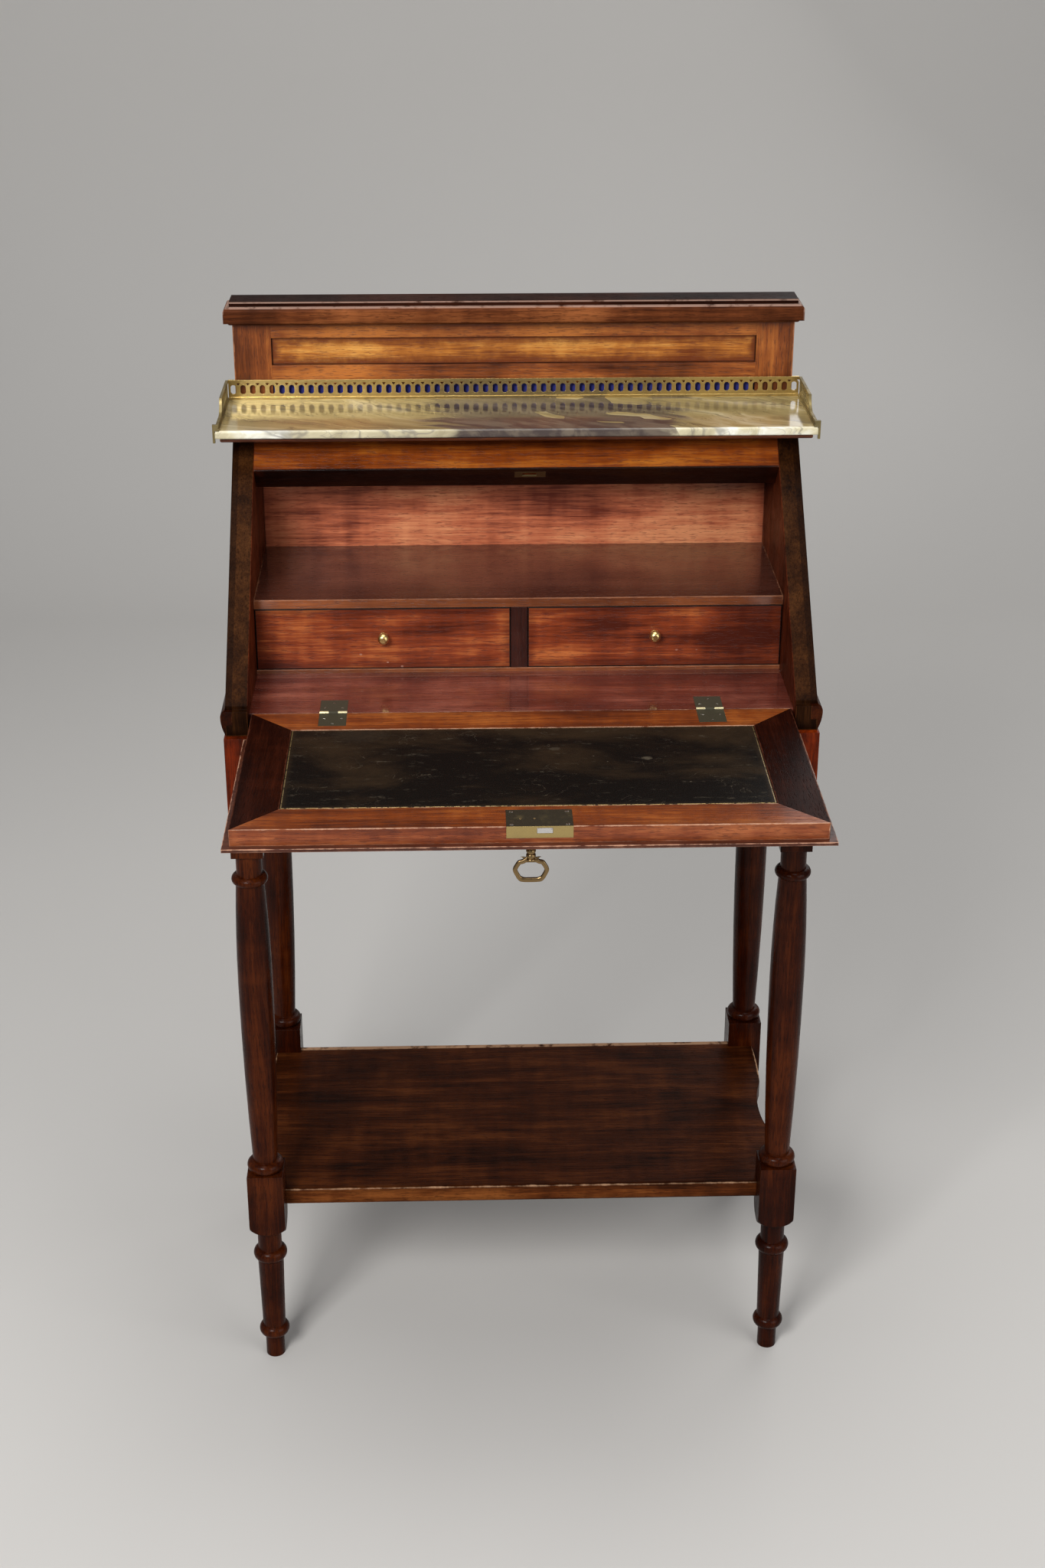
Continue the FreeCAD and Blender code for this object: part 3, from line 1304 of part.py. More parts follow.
def key_engaged():
    """How far the drill pin reaches into the key's pipe."""
    return size.key_bore_depth * PIN_SHARE


def make_escutcheon():
    """A thin oval plate round the keyhole on the fall's outer face."""
    half = size.escutcheon_half_width
    depth = fall_front + size.key_setback
    straight = size.key_bit_reach / 2
    plate = profile_body("escutcheon_plate", "XY_Plane", [
        (-half, ZERO), (-half, straight, -half), (half, straight), (half, ZERO, -half),
    ], size.escutcheon_thickness, size.key_offset, depth, fall_under - size.escutcheon_thickness)
    holes = keyhole("escutcheon_keyhole", fall_under - size.escutcheon_thickness - size.overrun,
                    fall_under + size.overrun)
    node("escutcheon", cut("escutcheon", plate, holes))


def make_key():
    """A pipe key: turned stem with its bore, bit, collar and an oval bow."""
    body = new_body("key", size.key_offset, fall_front + size.key_setback)
    top = key_bit_top()
    stem = size.key_stem_diameter / 2
    bore = size.key_bore_diameter / 2
    collar = size.key_collar_diameter / 2
    collar_low = key_bow_top - size.key_bow_wire / 2
    collar_high = collar_low + size.key_collar_height
    turned = new_sketch(body, "XZ_Plane", "turning")
    draw(turned, [
        (ZERO, collar_low), (stem, collar_low, (collar - stem)), (stem, collar_high), (stem, top),
        (bore, top), (bore, top - size.key_bore_depth), (ZERO, top - size.key_bore_depth),
    ])
    revolve(body, turned)
    half = size.key_bit_thickness / 2
    bit = new_sketch(body, "XY_Plane", "bit", top - size.key_bit_height)
    draw(bit, rectangle((-half, half), ((stem + bore) / 2, size.key_bit_reach)))
    pad(body, bit, size.key_bit_height)
    wire = size.key_bow_wire / 2
    high = key_bow_top - wire
    low = key_bow_top - size.key_bow_height + wire
    radius = (high - low) / 2
    straight = size.key_bow_width / 2 - wire - radius
    path = new_sketch(body, "XZ_Plane", "bow_path")
    draw(path, [(ZERO, low), (straight, low, radius), (straight, high), (-straight, high, radius),
                (-straight, low)])
    section = new_sketch(body, "YZ_Plane", "bow_wire")
    draw_circle(section, ZERO, low, wire)
    bow = body.newObject("PartDesign::AdditivePipe", "key_bow")
    bow.Profile = section
    bow.Spine = (path, [f"Edge{index}" for index in range(1, 6)])
    node("key", body)


def make_drawers():
    """Two small drawers: front, sides and back, bottom and turned knob."""
    low = nest_base_top + size.seat_gap
    high = nest_shelf_bottom - size.drawer_gap
    front = (nest_front, nest_front + size.drawer_front)
    wall = size.drawer_side
    box_top = high - size.drawer_back_drop
    for side_name, side in (("left", -1), ("right", 1)):
        name = f"drawer_{side_name}"
        full = mirrored_range(side, drawer_inner, drawer_outer)
        node(f"{name}_front", block(f"{name}_front", full, front, (low, high)))
        left_side = (full[0], full[0] + wall)
        right_side = (full[1] - wall, full[1])
        inside = (left_side[1], right_side[0])
        depths = (front[1], drawer_back)
        walls = [
            block(f"{name}_wall_1", left_side, depths, (low, box_top)),
            block(f"{name}_wall_2", right_side, depths, (low, box_top)),
            block(f"{name}_wall_3", inside, (drawer_back - wall, drawer_back), (low, box_top)),
        ]
        node(f"{name}_box", group(f"{name}_box", walls))
        floor_low = low + size.drawer_floor_lift
        floor = block(f"{name}_bottom", inside, (front[1], drawer_back - wall),
                      (floor_low, floor_low + size.drawer_floor))
        node(f"{name}_bottom", floor)
        make_knob(f"{name}_knob", (full[0] + full[1]) / 2, (low + high) / 2 + size.knob_rise)


def make_knob(name, x, z):
    """A turned brass knob that stands out of a drawer's front."""
    body = new_body(name, x, nest_front, z)
    base = size.knob_base_diameter / 2
    neck = size.knob_neck_diameter / 2
    ball = size.knob_diameter / 2
    swell = -size.knob_length * (1 - KNOB_SWELL_SHARE * 2)
    end = -size.knob_length
    sketch = new_sketch(body, "XY_Plane", "turning")
    draw(sketch, [
        (ZERO, end), (neck, end, (ball - neck)), (neck, swell + size.knob_base_height / 2),
        (neck, -size.knob_base_height), (base, -size.knob_base_height), (base, ZERO), (ZERO, ZERO),
    ])
    revolve(body, sketch)
    node(name, body)


def make_lopers():
    """Two pull-out supports under the fall, drawn out, and the runners that carry them."""
    runner = size.runner_thickness
    front = apron_face - size.loper_travel
    rear = apron_face + size.loper_stay
    bearer_top = loper_bottom - size.seat_gap
    depths = (front_rail_rear, inner_back_face)
    runners = []
    for side_name, side in (("left", -1), ("right", 1)):
        name = f"loper_{side_name}"
        x_range = mirrored_range(side, loper_inner, loper_outer)
        node(name, block(name, x_range, (front, rear), (loper_bottom, loper_top)))
        cheek_outer = loper_inner - size.running_gap
        cheek = mirrored_range(side, cheek_outer - runner, cheek_outer)
        bearer = mirrored_range(side, cheek_outer - runner, carcass_half - size.apron_thickness)
        runners.append(joined(f"runner_{side_name}", [
            block(f"runner_cheek_{side_name}", cheek, depths, (bearer_top - runner, waist_height)),
            block(f"runner_bearer_{side_name}", bearer, depths, (bearer_top - runner, bearer_top)),
        ]))
    node("loper_runners", group("loper_runners", runners))


def make_desk():
    """Every sub-part, from the floor up."""
    for name, side, depth, grooved in (
        ("leg_front_left", -1, ZERO, False),
        ("leg_front_right", 1, ZERO, False),
        ("leg_back_left", -1, leg_span, True),
        ("leg_back_right", 1, leg_span, True),
    ):
        make_leg(name, side, depth, grooved)
    make_lower_shelf()
    make_aprons()
    make_lopers()
    make_sides()
    make_waist_mouldings()
    make_writing_floor()
    make_case_inside()
    make_slope_rail()
    make_top_frame()
    make_marble()
    make_gallery()
    make_screen()
    make_fall()
    make_hinges()
    make_lock()
    make_key()
    make_drawers()


def check_document():
    """Stop where an object failed or a sub-part's shape is empty or invalid."""
    faults = []
    for thing in DOC.Objects:
        if "Invalid" in thing.State or "Error" in thing.State:
            faults.append(f"{thing.Name} failed: {thing.State}")
    for name, thing in NODES.items():
        if thing.Shape.isNull() or not thing.Shape.isValid() or not thing.Shape.Solids:
            faults.append(f"{name} has no valid solid")
    if faults:
        raise ValueError("; ".join(faults))


def export_parts():
    """Write each sub-part to its own file."""
    os.makedirs("parts", exist_ok=True)
    for name, thing in NODES.items():
        thing.Shape.exportStep(f"parts/{name}.step")
    print(len(NODES), "sub-parts")


make_desk()
DOC.recompute()
check_document()
export_parts()
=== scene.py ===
"""Looks of a slope-front writing desk with a rising screen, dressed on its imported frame.

Lengths are in metres. X runs to the right, Y to the desk's back and Z up from the floor.
"""
from __future__ import annotations

import logging
import math
from dataclasses import dataclass, field
from enum import Enum
from typing import Any, Callable, Sequence, Union

import bmesh
import bpy
import numpy as np
from mathutils import Euler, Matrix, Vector

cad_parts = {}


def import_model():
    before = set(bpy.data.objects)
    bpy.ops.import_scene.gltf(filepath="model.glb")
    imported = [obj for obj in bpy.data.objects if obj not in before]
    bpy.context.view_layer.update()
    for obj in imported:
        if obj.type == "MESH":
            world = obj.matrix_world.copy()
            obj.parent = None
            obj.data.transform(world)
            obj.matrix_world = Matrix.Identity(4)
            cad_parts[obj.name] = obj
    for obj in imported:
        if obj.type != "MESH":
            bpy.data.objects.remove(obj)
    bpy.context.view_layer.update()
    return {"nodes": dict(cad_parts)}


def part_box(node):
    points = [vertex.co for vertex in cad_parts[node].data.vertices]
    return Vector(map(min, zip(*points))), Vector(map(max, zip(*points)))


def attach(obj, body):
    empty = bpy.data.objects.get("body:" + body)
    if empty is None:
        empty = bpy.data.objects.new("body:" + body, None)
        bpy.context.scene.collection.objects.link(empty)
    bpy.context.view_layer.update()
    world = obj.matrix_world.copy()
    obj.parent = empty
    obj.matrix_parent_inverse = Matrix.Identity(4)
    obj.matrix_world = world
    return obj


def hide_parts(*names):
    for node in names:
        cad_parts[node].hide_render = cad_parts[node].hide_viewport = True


LOG = logging.getLogger("writing_desk")
MM = 0.001
Material = bpy.types.Material
Object = bpy.types.Object
Colour = tuple[float, float, float]
Place = tuple[float, float, float]
NO_TINT: Colour = (1.0, 1.0, 1.0)
FAR = 9.0  # metres: beyond every piece, so that what it bounds is left out
HALF = 0.5  # the mean of every noise


class Grain(Enum):
    """The way a board's grain runs, as the axes along, across and through it."""

    ACROSS = (0, 1, 2)
    DEEP = (1, 0, 2)
    UPRIGHT = (2, 0, 1)


# ---- shader maths


def worked(operation: str, turned: bool = False) -> Callable[..., Field]:
    """Make a method that adds one Math node.

    Args:
        operation: What the node does.
        turned: Whether its two values change places.

    Returns:
        The method.
    """
    def method(this: Field, other: Value = 0.0) -> Field:
        """Work on this field and, where the operation needs it, another value."""
        first, second = (other, this) if turned else (this, other)
        return this.graph.node("ShaderNodeMath", {"operation": operation}, {0: first, 1: second})
    return method


class Field:
    """A shader socket; sums, differences and products of fields add Math nodes."""

    __add__ = worked("ADD")
    __sub__ = worked("SUBTRACT")
    __rsub__ = worked("SUBTRACT", turned=True)
    __mul__ = worked("MULTIPLY")
    least = worked("MINIMUM")
    most = worked("MAXIMUM")
    sine = worked("SINE")
    size = worked("ABSOLUTE")  # without its sign

    def __init__(self, graph: Graph, socket: bpy.types.NodeSocket) -> None:
        """Keep the graph and the socket."""
        self.graph = graph
        self.socket = socket

    def rises(self, low: float, high: float) -> Field:
        """Make a smooth step, which falls where low is over high.

        Args:
            low: Where the step is 0.
            high: Where it is 1.

        Returns:
            The step.
        """
        first, last = (low, high) if low < high else (high, low)
        start = 0.0 if low < high else 1.0
        return self.graph.node("ShaderNodeMapRange", {"interpolation_type": "SMOOTHSTEP"},
                               {0: self, 1: first, 2: last, 3: start, 4: 1.0 - start})


Value = Union[float, Sequence[float], Field]


@dataclass(frozen=True)
class Noise:
    """Noise drawn out along a grain: how fine it is along it and across it, per metre."""

    along: float
    across: float
    detail: float = 2.0
    rough: float = 0.5
    warp: float = 0.0


class Graph:
    """One material's nodes."""

    BEVEL_SAMPLES = 4

    def __init__(self, name: str, node: str = "") -> None:
        """Start a material with the point being shaded, in metres.

        Args:
            name: The material's name.
            node: The carried-over node whose box bounds the piece, where the finish needs it.
        """
        self.material = bpy.data.materials.new(name)
        self.material.use_nodes = True
        self.tree = self.material.node_tree
        self.tree.nodes.clear()
        self.point = self.node("ShaderNodeTexCoord", output="Object")
        self.axes = self.parts(self.point)
        if node:
            self.low, self.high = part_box(node)

    def node(self, kind: str, settings: dict[str, Any] | None = None,
             values: dict[int | str, Value] | None = None, output: int | str = 0) -> Field:
        """Add any node.

        Args:
            kind: The node's type.
            settings: Its properties, set first; "stops" fills a colour ramp.
            values: A number, a colour or a field for each input socket.
            output: The output to return.

        Returns:
            The chosen output.
        """
        made = self.tree.nodes.new(kind)
        for key, setting in (settings or {}).items():
            if key == "stops":
                ramp = made.color_ramp
                while len(ramp.elements) > 1:
                    ramp.elements.remove(ramp.elements[-1])
                for index, (place, colour) in enumerate(setting):
                    element = ramp.elements[0] if index == 0 else ramp.elements.new(place)
                    element.position = place
                    element.color = (*colour, 1.0)
            else:
                setattr(made, key, setting)
        for key, value in (values or {}).items():
            socket = made.inputs[key]
            if isinstance(value, Field):
                self.tree.links.new(value.socket, socket)
            elif isinstance(value, (int, float)):
                socket.default_value = value
            else:
                wanted = len(socket.default_value)
                socket.default_value = (*value, 1.0)[:wanted]
        return Field(self, made.outputs[output])

    def vector(self, operation: str, first: Value, second: Value,
               output: str = "Vector") -> Field:
        """Add one Vector Math node."""
        values = {0: first, 1: second}
        return self.node("ShaderNodeVectorMath", {"operation": operation}, values, output)

    def parts(self, vector: Field) -> tuple[Field, Field, Field]:
        """The three numbers of a vector."""
        split = self.node("ShaderNodeSeparateXYZ", None, {0: vector}).socket.node
        return tuple(Field(self, number) for number in split.outputs)

    def joined(self, x: Value, y: Value, z: Value) -> Field:
        """A vector of three numbers."""
        return self.node("ShaderNodeCombineXYZ", None, {0: x, 1: y, 2: z})

    def noise(self, vector: Field, scale: float = 1.0, detail: float = 2.0, rough: float = 0.5,
              warp: float = 0.0) -> Field:
        """Cloudy noise, around a half.

        Args:
            vector: Where it is read.
            scale: How fine it is.
            detail: Its octaves.
            rough: The strength of the fine octaves.
            warp: Its distortion.

        Returns:
            The noise, mostly from 0.3 to 0.7.
        """
        values = {"Vector": vector, "Scale": scale, "Detail": detail, "Roughness": rough,
                  "Distortion": warp}
        return self.node("ShaderNodeTexNoise", None, values)

    def layer(self, noise: Noise, along: Field, across: Field, through: Field) -> Field:
        """Noise drawn out along a grain."""
        place = self.joined(along * noise.along, across * noise.across, through * noise.across)
        return self.noise(place, 1.0, noise.detail, noise.rough, noise.warp)

    def cells(self, vector: Field, scale: float = 1.0, feature: str = "F1",
              output: str = "Distance") -> Field:
        """Voronoi cells."""
        values = {"Vector": vector, "Scale": scale}
        return self.node("ShaderNodeTexVoronoi", {"feature": feature}, values, output)

    def mix(self, share: Value, first: Value, second: Value, blend: str = "MIX") -> Field:
        """Blend two colours by a share."""
        settings = {"data_type": "RGBA", "blend_type": blend}
        return self.node("ShaderNodeMix", settings, {0: share, 6: first, 7: second}, 2)

    def tinted(self, share: Value, colour: Value, tint: Colour) -> Field:
        """A colour multiplied by a tint where the share says so."""
        return self.mix(share, colour, self.mix(1.0, colour, tint, "MULTIPLY"))

    def ramp(self, share: Field, stops: Sequence[tuple[float, Colour]]) -> Field:
        """A colour read from a ramp."""
        return self.node("ShaderNodeValToRGB", {"stops": stops}, {0: share})

    def edge(self) -> Field:
        """Measure to the nearest edge of the box on whose surface the point lies.

        Of the point's three distances to the box's faces, the least is nothing on the surface, so
        the middle one is the distance to the edge.

        Returns:
            The distance in metres.
        """
        below = self.parts(self.vector("SUBTRACT", self.point, tuple(self.low)))
        above = self.parts(self.vector("SUBTRACT", tuple(self.high), self.point))
        x, y, z = (first.least(second) for first, second in zip(below, above))
        return x.least(y).most(x.most(y).least(z))

    def finish(self, inputs: dict[str, Value], bump: Field | None = None, depth: float = 0.0,
               soft_edge: float = 0.0) -> Material:
        """Add the surface shader.

        Args:
            inputs: Values for the shader's own sockets.
            bump: A height field, if any.
            depth: How deep the height field's whole range is, in metres.
            soft_edge: The radius that sharp arrises are rounded to, in metres.

        Returns:
            The material.
        """
        shader = self.node("ShaderNodeBsdfPrincipled", None, inputs)
        normal = None
        if soft_edge > 0.0:
            normal = self.node("ShaderNodeBevel", {"samples": self.BEVEL_SAMPLES},
                               {"Radius": soft_edge})
        if bump is not None:
            values: dict[int | str, Value] = {"Height": bump, "Distance": depth, "Strength": 1.0}
            if normal is not None:
                values["Normal"] = normal
            normal = self.node("ShaderNodeBump", None, values)
        if normal is not None:
            self.tree.links.new(normal.socket, shader.socket.node.inputs["Normal"])
        end = self.tree.nodes.new("ShaderNodeOutputMaterial")
        self.tree.links.new(shader.socket, end.inputs[0])
        return self.material


# ---- finishes


@dataclass(frozen=True)
class Mahogany:
    """Polished mahogany: clouded figure, fine streaks, dark pores, worn arrises and uneven polish.

    The front tint is painted light on a board's front face; the top tint is painted light on the
    legs' upper ends and painted shade on the cap's top; the underside shade is painted shade on a
    board's underside and, on the slope, on its lower face, which is where a board ends along the
    slope; the inner tint colours the face that looks to the desk's middle. Towards every edge the
    wood darkens: dirt and painted shade. A stile is the distance from the middle beyond which the
    grain stands upright; a rim darkens the joint round a board, dirt and painted shade in the
    joint;
    the worn arrises are partly wear and partly painted highlight; lines are the heights of moulding
    arrises given painted highlights and wear, and the back highlight is a painted highlight strip
    along the back edge; beyond the outer distance from the middle the wood is darker; dents are
    small pale knocks near the lower edge.
    """

    deep: Colour = (0.040, 0.010, 0.004)
    middle: Colour = (0.150, 0.034, 0.009)
    light: Colour = (0.310, 0.090, 0.020)
    worn: Colour = (0.48, 0.22, 0.11)
    figure: float = 1.0
    blotch: float = 0.5
    wear: float = 0.55
    # Darkening towards every edge: dirt and painted shade.
    edge_dirt_and_shade: float = 0.35
    rough: float = 0.33
    coat: float = 0.10
    # Painted light and shade: the front tint, the top tint, the underside shade and the lower face.
    front: Colour = NO_TINT
    top: Colour = NO_TINT
    top_depth: float = 0.0004
    under_shade: Colour = NO_TINT
    under_shade_depth: float = 0.0004
    inner: Colour = NO_TINT
    stile: float = FAR
    shine: float = 0.25
    # Dark joint round a board: dirt and painted shade.
    rim: float = 0.0
    lower_face: float = FAR
    wear_width: float = 0.0013
    # Painted highlights, with wear: the moulding lines and the back highlight strip.
    lines: tuple[float, ...] = ()
    back_highlight: float = 0.0
    outer: float = FAR
    dents: float = 0.0
    polish: float = 0.12

    # The figure's clouds, streaks, ribbons and curls, and how strongly each shades the wood.
    LAYERS = (Noise(7.0, 24.0, 3.0, 0.6, 0.5), Noise(16.0, 420.0, 3.0, 0.7), Noise(2.4, 70.0),
              Noise(60.0, 13.0))
    WEIGHTS = (1.3, 1.1, 0.8, 0.45)
    FLECK = Noise(95.0, 880.0, rough=0.6)
    BEND = Noise(3.0, 9.0, detail=1.0)
    BEND_REACH = 0.020
    MIDDLE_TONE = 0.47
    MIDDLE_STOP = 0.48
    PORE_SHARE = 0.55
    # In metres: the soft step between faces, the softened arrises and the depth of the surface.
    STEP = 0.0004
    ARRIS = 0.0012
    RELIEF = 0.00022
    # The slope of the case's front: a point on its lower end, and its direction.
    SLOPE_FOOT = (-0.02345, 0.741)
    SLOPE_WAY = (0.7193, 0.6947)
    # The dark joint's colour: dirt and painted shade.
    JOINT_DIRT_AND_SHADE = (0.008, 0.003, 0.002)

    def dress(self, name: str, grain: Grain, seed: float) -> Material:
        """Make the wood of one board.

        Args:
            name: The board's node.
            grain: The way its grain runs.
            seed: Where in the log the board was cut.

        Returns:
            The material.
        """
        g = Graph(f"mahogany_{name}", name)
        way = self.lie(g, grain, seed)
        layers = [g.layer(noise, *way) for noise in self.LAYERS]
        pores = g.layer(self.FLECK, *way).rises(0.54, 0.66)
        tone = (g.noise(g.point, scale=8.0) - HALF) * self.blotch + self.MIDDLE_TONE
        for layer, weight in zip(layers, self.WEIGHTS):
            tone = tone + (layer - HALF) * (weight * self.figure)
        stops = [(0.0, self.deep), (self.MIDDLE_STOP, self.middle), (1.0, self.light)]
        colour = g.mix(pores * self.PORE_SHARE, g.ramp(tone, stops), self.deep)
        colour = self.tint_faces(g, colour)
        edge = g.edge()
        rub = g.noise(g.point, scale=75.0, detail=4.0, rough=0.65)
        # Wear and painted highlights: worn arrises, moulding lines, the back edge strip and knocks.
        worn = self.rubbed_and_lit(g, edge, rub)
        # Darker towards the box's edges: dirt, and painted shade in the corners and joints.
        edge_dirt_and_shade = (edge + (rub - HALF) * 0.012).rises(0.012, 0.001) * (1.0 - worn) * self.edge_dirt_and_shade
        colour = g.mix(edge_dirt_and_shade, colour, self.deep)
        colour = g.mix(worn, colour, self.worn)
        # A dark line along the board's edges: dirt and painted shade in the joint.
        if self.rim > 0.0:
            colour = g.mix(edge.rises(0.0013, 0.0007) * self.rim, colour, self.JOINT_DIRT_AND_SHADE)
        smudge = g.noise(g.point, scale=22.0, detail=3.0)
        rough = pores * 0.16 + smudge * 0.20 + (self.rough - 0.10)
        waves = g.noise(g.point, scale=15.0, detail=1.0)
        height = layers[1] * 0.16 + waves * 1.5 - pores * 0.45
        return g.finish({"Base Color": colour, "Roughness": rough, "Coat Weight": self.coat,
                         "Coat Roughness": self.polish, "Specular IOR Level": self.shine},
                        height, self.RELIEF, self.ARRIS)

    def lie(self, g: Graph, grain: Grain, seed: float) -> tuple[Field, Field, Field]:
        """Turn a point into places along, across and through the grain, which bends a little.

        Args:
            g: The material's graph.
            grain: The way the grain runs.
            seed: Where in the log the board was cut.

        Returns:
            The three places.
        """
        along, across, through = (g.axes[index] for index in grain.value)
        if self.stile < FAR:
            upright = g.axes[0].size().rises(self.stile - self.STEP / 2, self.stile + self.STEP / 2)
            along, through = (along + (through - along) * upright,
                              through + (along - through) * upright)
        along = along + seed * 3.1
        bend = g.layer(self.BEND, along, across, through) * self.BEND_REACH
        return along, across + bend + seed, through + seed * 1.7

    def tint_faces(self, g: Graph, colour: Field) -> Field:
        """Give the faces that have a tint of their own that tint.

        Args:
            g: The material's graph.
            colour: The wood so far.

        Returns:
            The tinted wood.
        """
        low, high = g.low, g.high
        x, y, z = g.axes
        step = self.STEP
        # Painted light: the front face is made lighter, as if lit from the front.
        if self.front != NO_TINT:
            colour = g.tinted((y - low.y).rises(0.0009, step), colour, self.front)
        # Painted light on the legs' upper ends and painted shade on the cap's top, within the top
        # depth.
        if self.top != NO_TINT:
            upper = (high.z - z).rises(self.top_depth + step, self.top_depth)
            colour = g.tinted(upper, colour, self.top)
        # Painted shade: the underside is darkened, and on the slope the lower face too.
        if self.under_shade != NO_TINT:
            lower = (z - low.z).rises(self.under_shade_depth + step * 5, self.under_shade_depth)
            if self.lower_face < FAR:
                down = ((y - self.SLOPE_FOOT[0]) * self.SLOPE_WAY[0]
                        + (z - self.SLOPE_FOOT[1]) * self.SLOPE_WAY[1])
                lower = lower.most(down.rises(self.lower_face + step * 1.5,
                                              self.lower_face + step / 2))
            colour = g.tinted(lower, colour, self.under_shade)
        if self.outer < FAR:
            beyond = x.size().rises(self.outer - step, self.outer + step)
            colour = g.mix(beyond * 0.6, colour, self.deep)
        if self.inner != NO_TINT:
            facing = (x.size() - min(abs(low.x), abs(high.x))).rises(step * 2, step)
            colour = g.tinted(facing, colour, self.inner)
        return colour

    def rubbed_and_lit(self, g: Graph, edge: Field, rub: Field) -> Field:
        """Find the wear and the painted highlights: at arrises, along mouldings, along the back and
        at knocks.

        Args:
            g: The material's graph.
            edge: Its distance to the box's nearest edge.
            rub: Noise that breaks the worn places up.

        Returns:
            The wear and painted highlight, from 0 to 1.
        """
        low, high = g.low, g.high
        x, y, z = g.axes
        # Upper arrises stronger: partly wear and partly painted highlight.
        upper_side = (z - (low.z + high.z) / 2).rises(-0.001, 0.001) * 0.7 + 0.3
        worn = (edge + (rub - HALF) * 0.0036).rises(self.wear_width, 0.0002)
        worn = worn * upper_side * self.wear
        # Painted highlights along the moulding's arrises, with wear.
        for line in self.lines:
            bright = (z - line).size().rises(0.0010, 0.0004) * rub.rises(0.25, 0.5)
            worn = worn.most(bright * self.wear)
        # Painted highlight: a bright strip along the top of the back edge.
        if self.back_highlight > 0.0:
            strip = (high.y - y).rises(self.back_highlight + 0.0006, self.back_highlight)
            strip = strip * (high.z - z).rises(0.0024, 0.0016)
            worn = worn.most(strip * rub.rises(0.32, 0.5) * (self.wear * 0.8))
        if self.dents > 0.0:
            knock = g.cells(g.joined(x * 75.0, y * 60.0, z * 110.0)).rises(0.13, 0.07)
            knock = knock * g.noise(g.point, scale=31.0).rises(0.50, 0.54)
            worn = worn.most(knock * (z - low.z).rises(0.021, 0.012) * self.dents)
        return worn


@dataclass(frozen=True)
class PlainWood:
    """Waxed secondary wood, paler and duller than the show wood."""

    dark: Colour = (0.115, 0.045, 0.015)
    pale: Colour = (0.34, 0.17, 0.068)

    STREAK = Noise(7.0, 210.0, detail=3.0, rough=0.6)
    BAND = Noise(2.0, 38.0, warp=0.4)
    FLECK = Noise(60.0, 900.0)
    RELIEF = 0.00014
    ARRIS = 0.0008

    def dress(self, name: str, grain: Grain, seed: float) -> Material:
        """Make the wood of one hidden board, its edges, pores and stains darker.

        Args:
            name: The board's node.
            grain: The way its grain runs.
            seed: Where in the log the board was cut.

        Returns:
            The material.
        """
        g = Graph(f"plain_wood_{name}", name)
        along, across, through = (g.axes[index] for index in grain.value)
        streaks, bands, flecks = (g.layer(noise, along, across + seed, through)
                                  for noise in (self.STREAK, self.BAND, self.FLECK))
        tone = (streaks - HALF) * 0.9 + (bands - HALF) * 1.5 + HALF
        colour = g.ramp(tone, [(0.0, self.dark), (1.0, self.pale)])
        pores = flecks.rises(0.56, 0.66)
        stain = g.noise(g.point, scale=7.0, detail=4.0, rough=0.6).rises(0.50, 0.72)
        for share in (g.edge().rises(0.010, 0.001) * 0.4, pores * 0.5, stain * 0.45):
            colour = g.mix(share, colour, self.dark)
        return g.finish({"Base Color": colour, "Roughness": streaks * 0.3 + 0.45,
                         "Specular IOR Level": 0.15},
                        streaks - pores * 0.4, self.RELIEF, self.ARRIS)


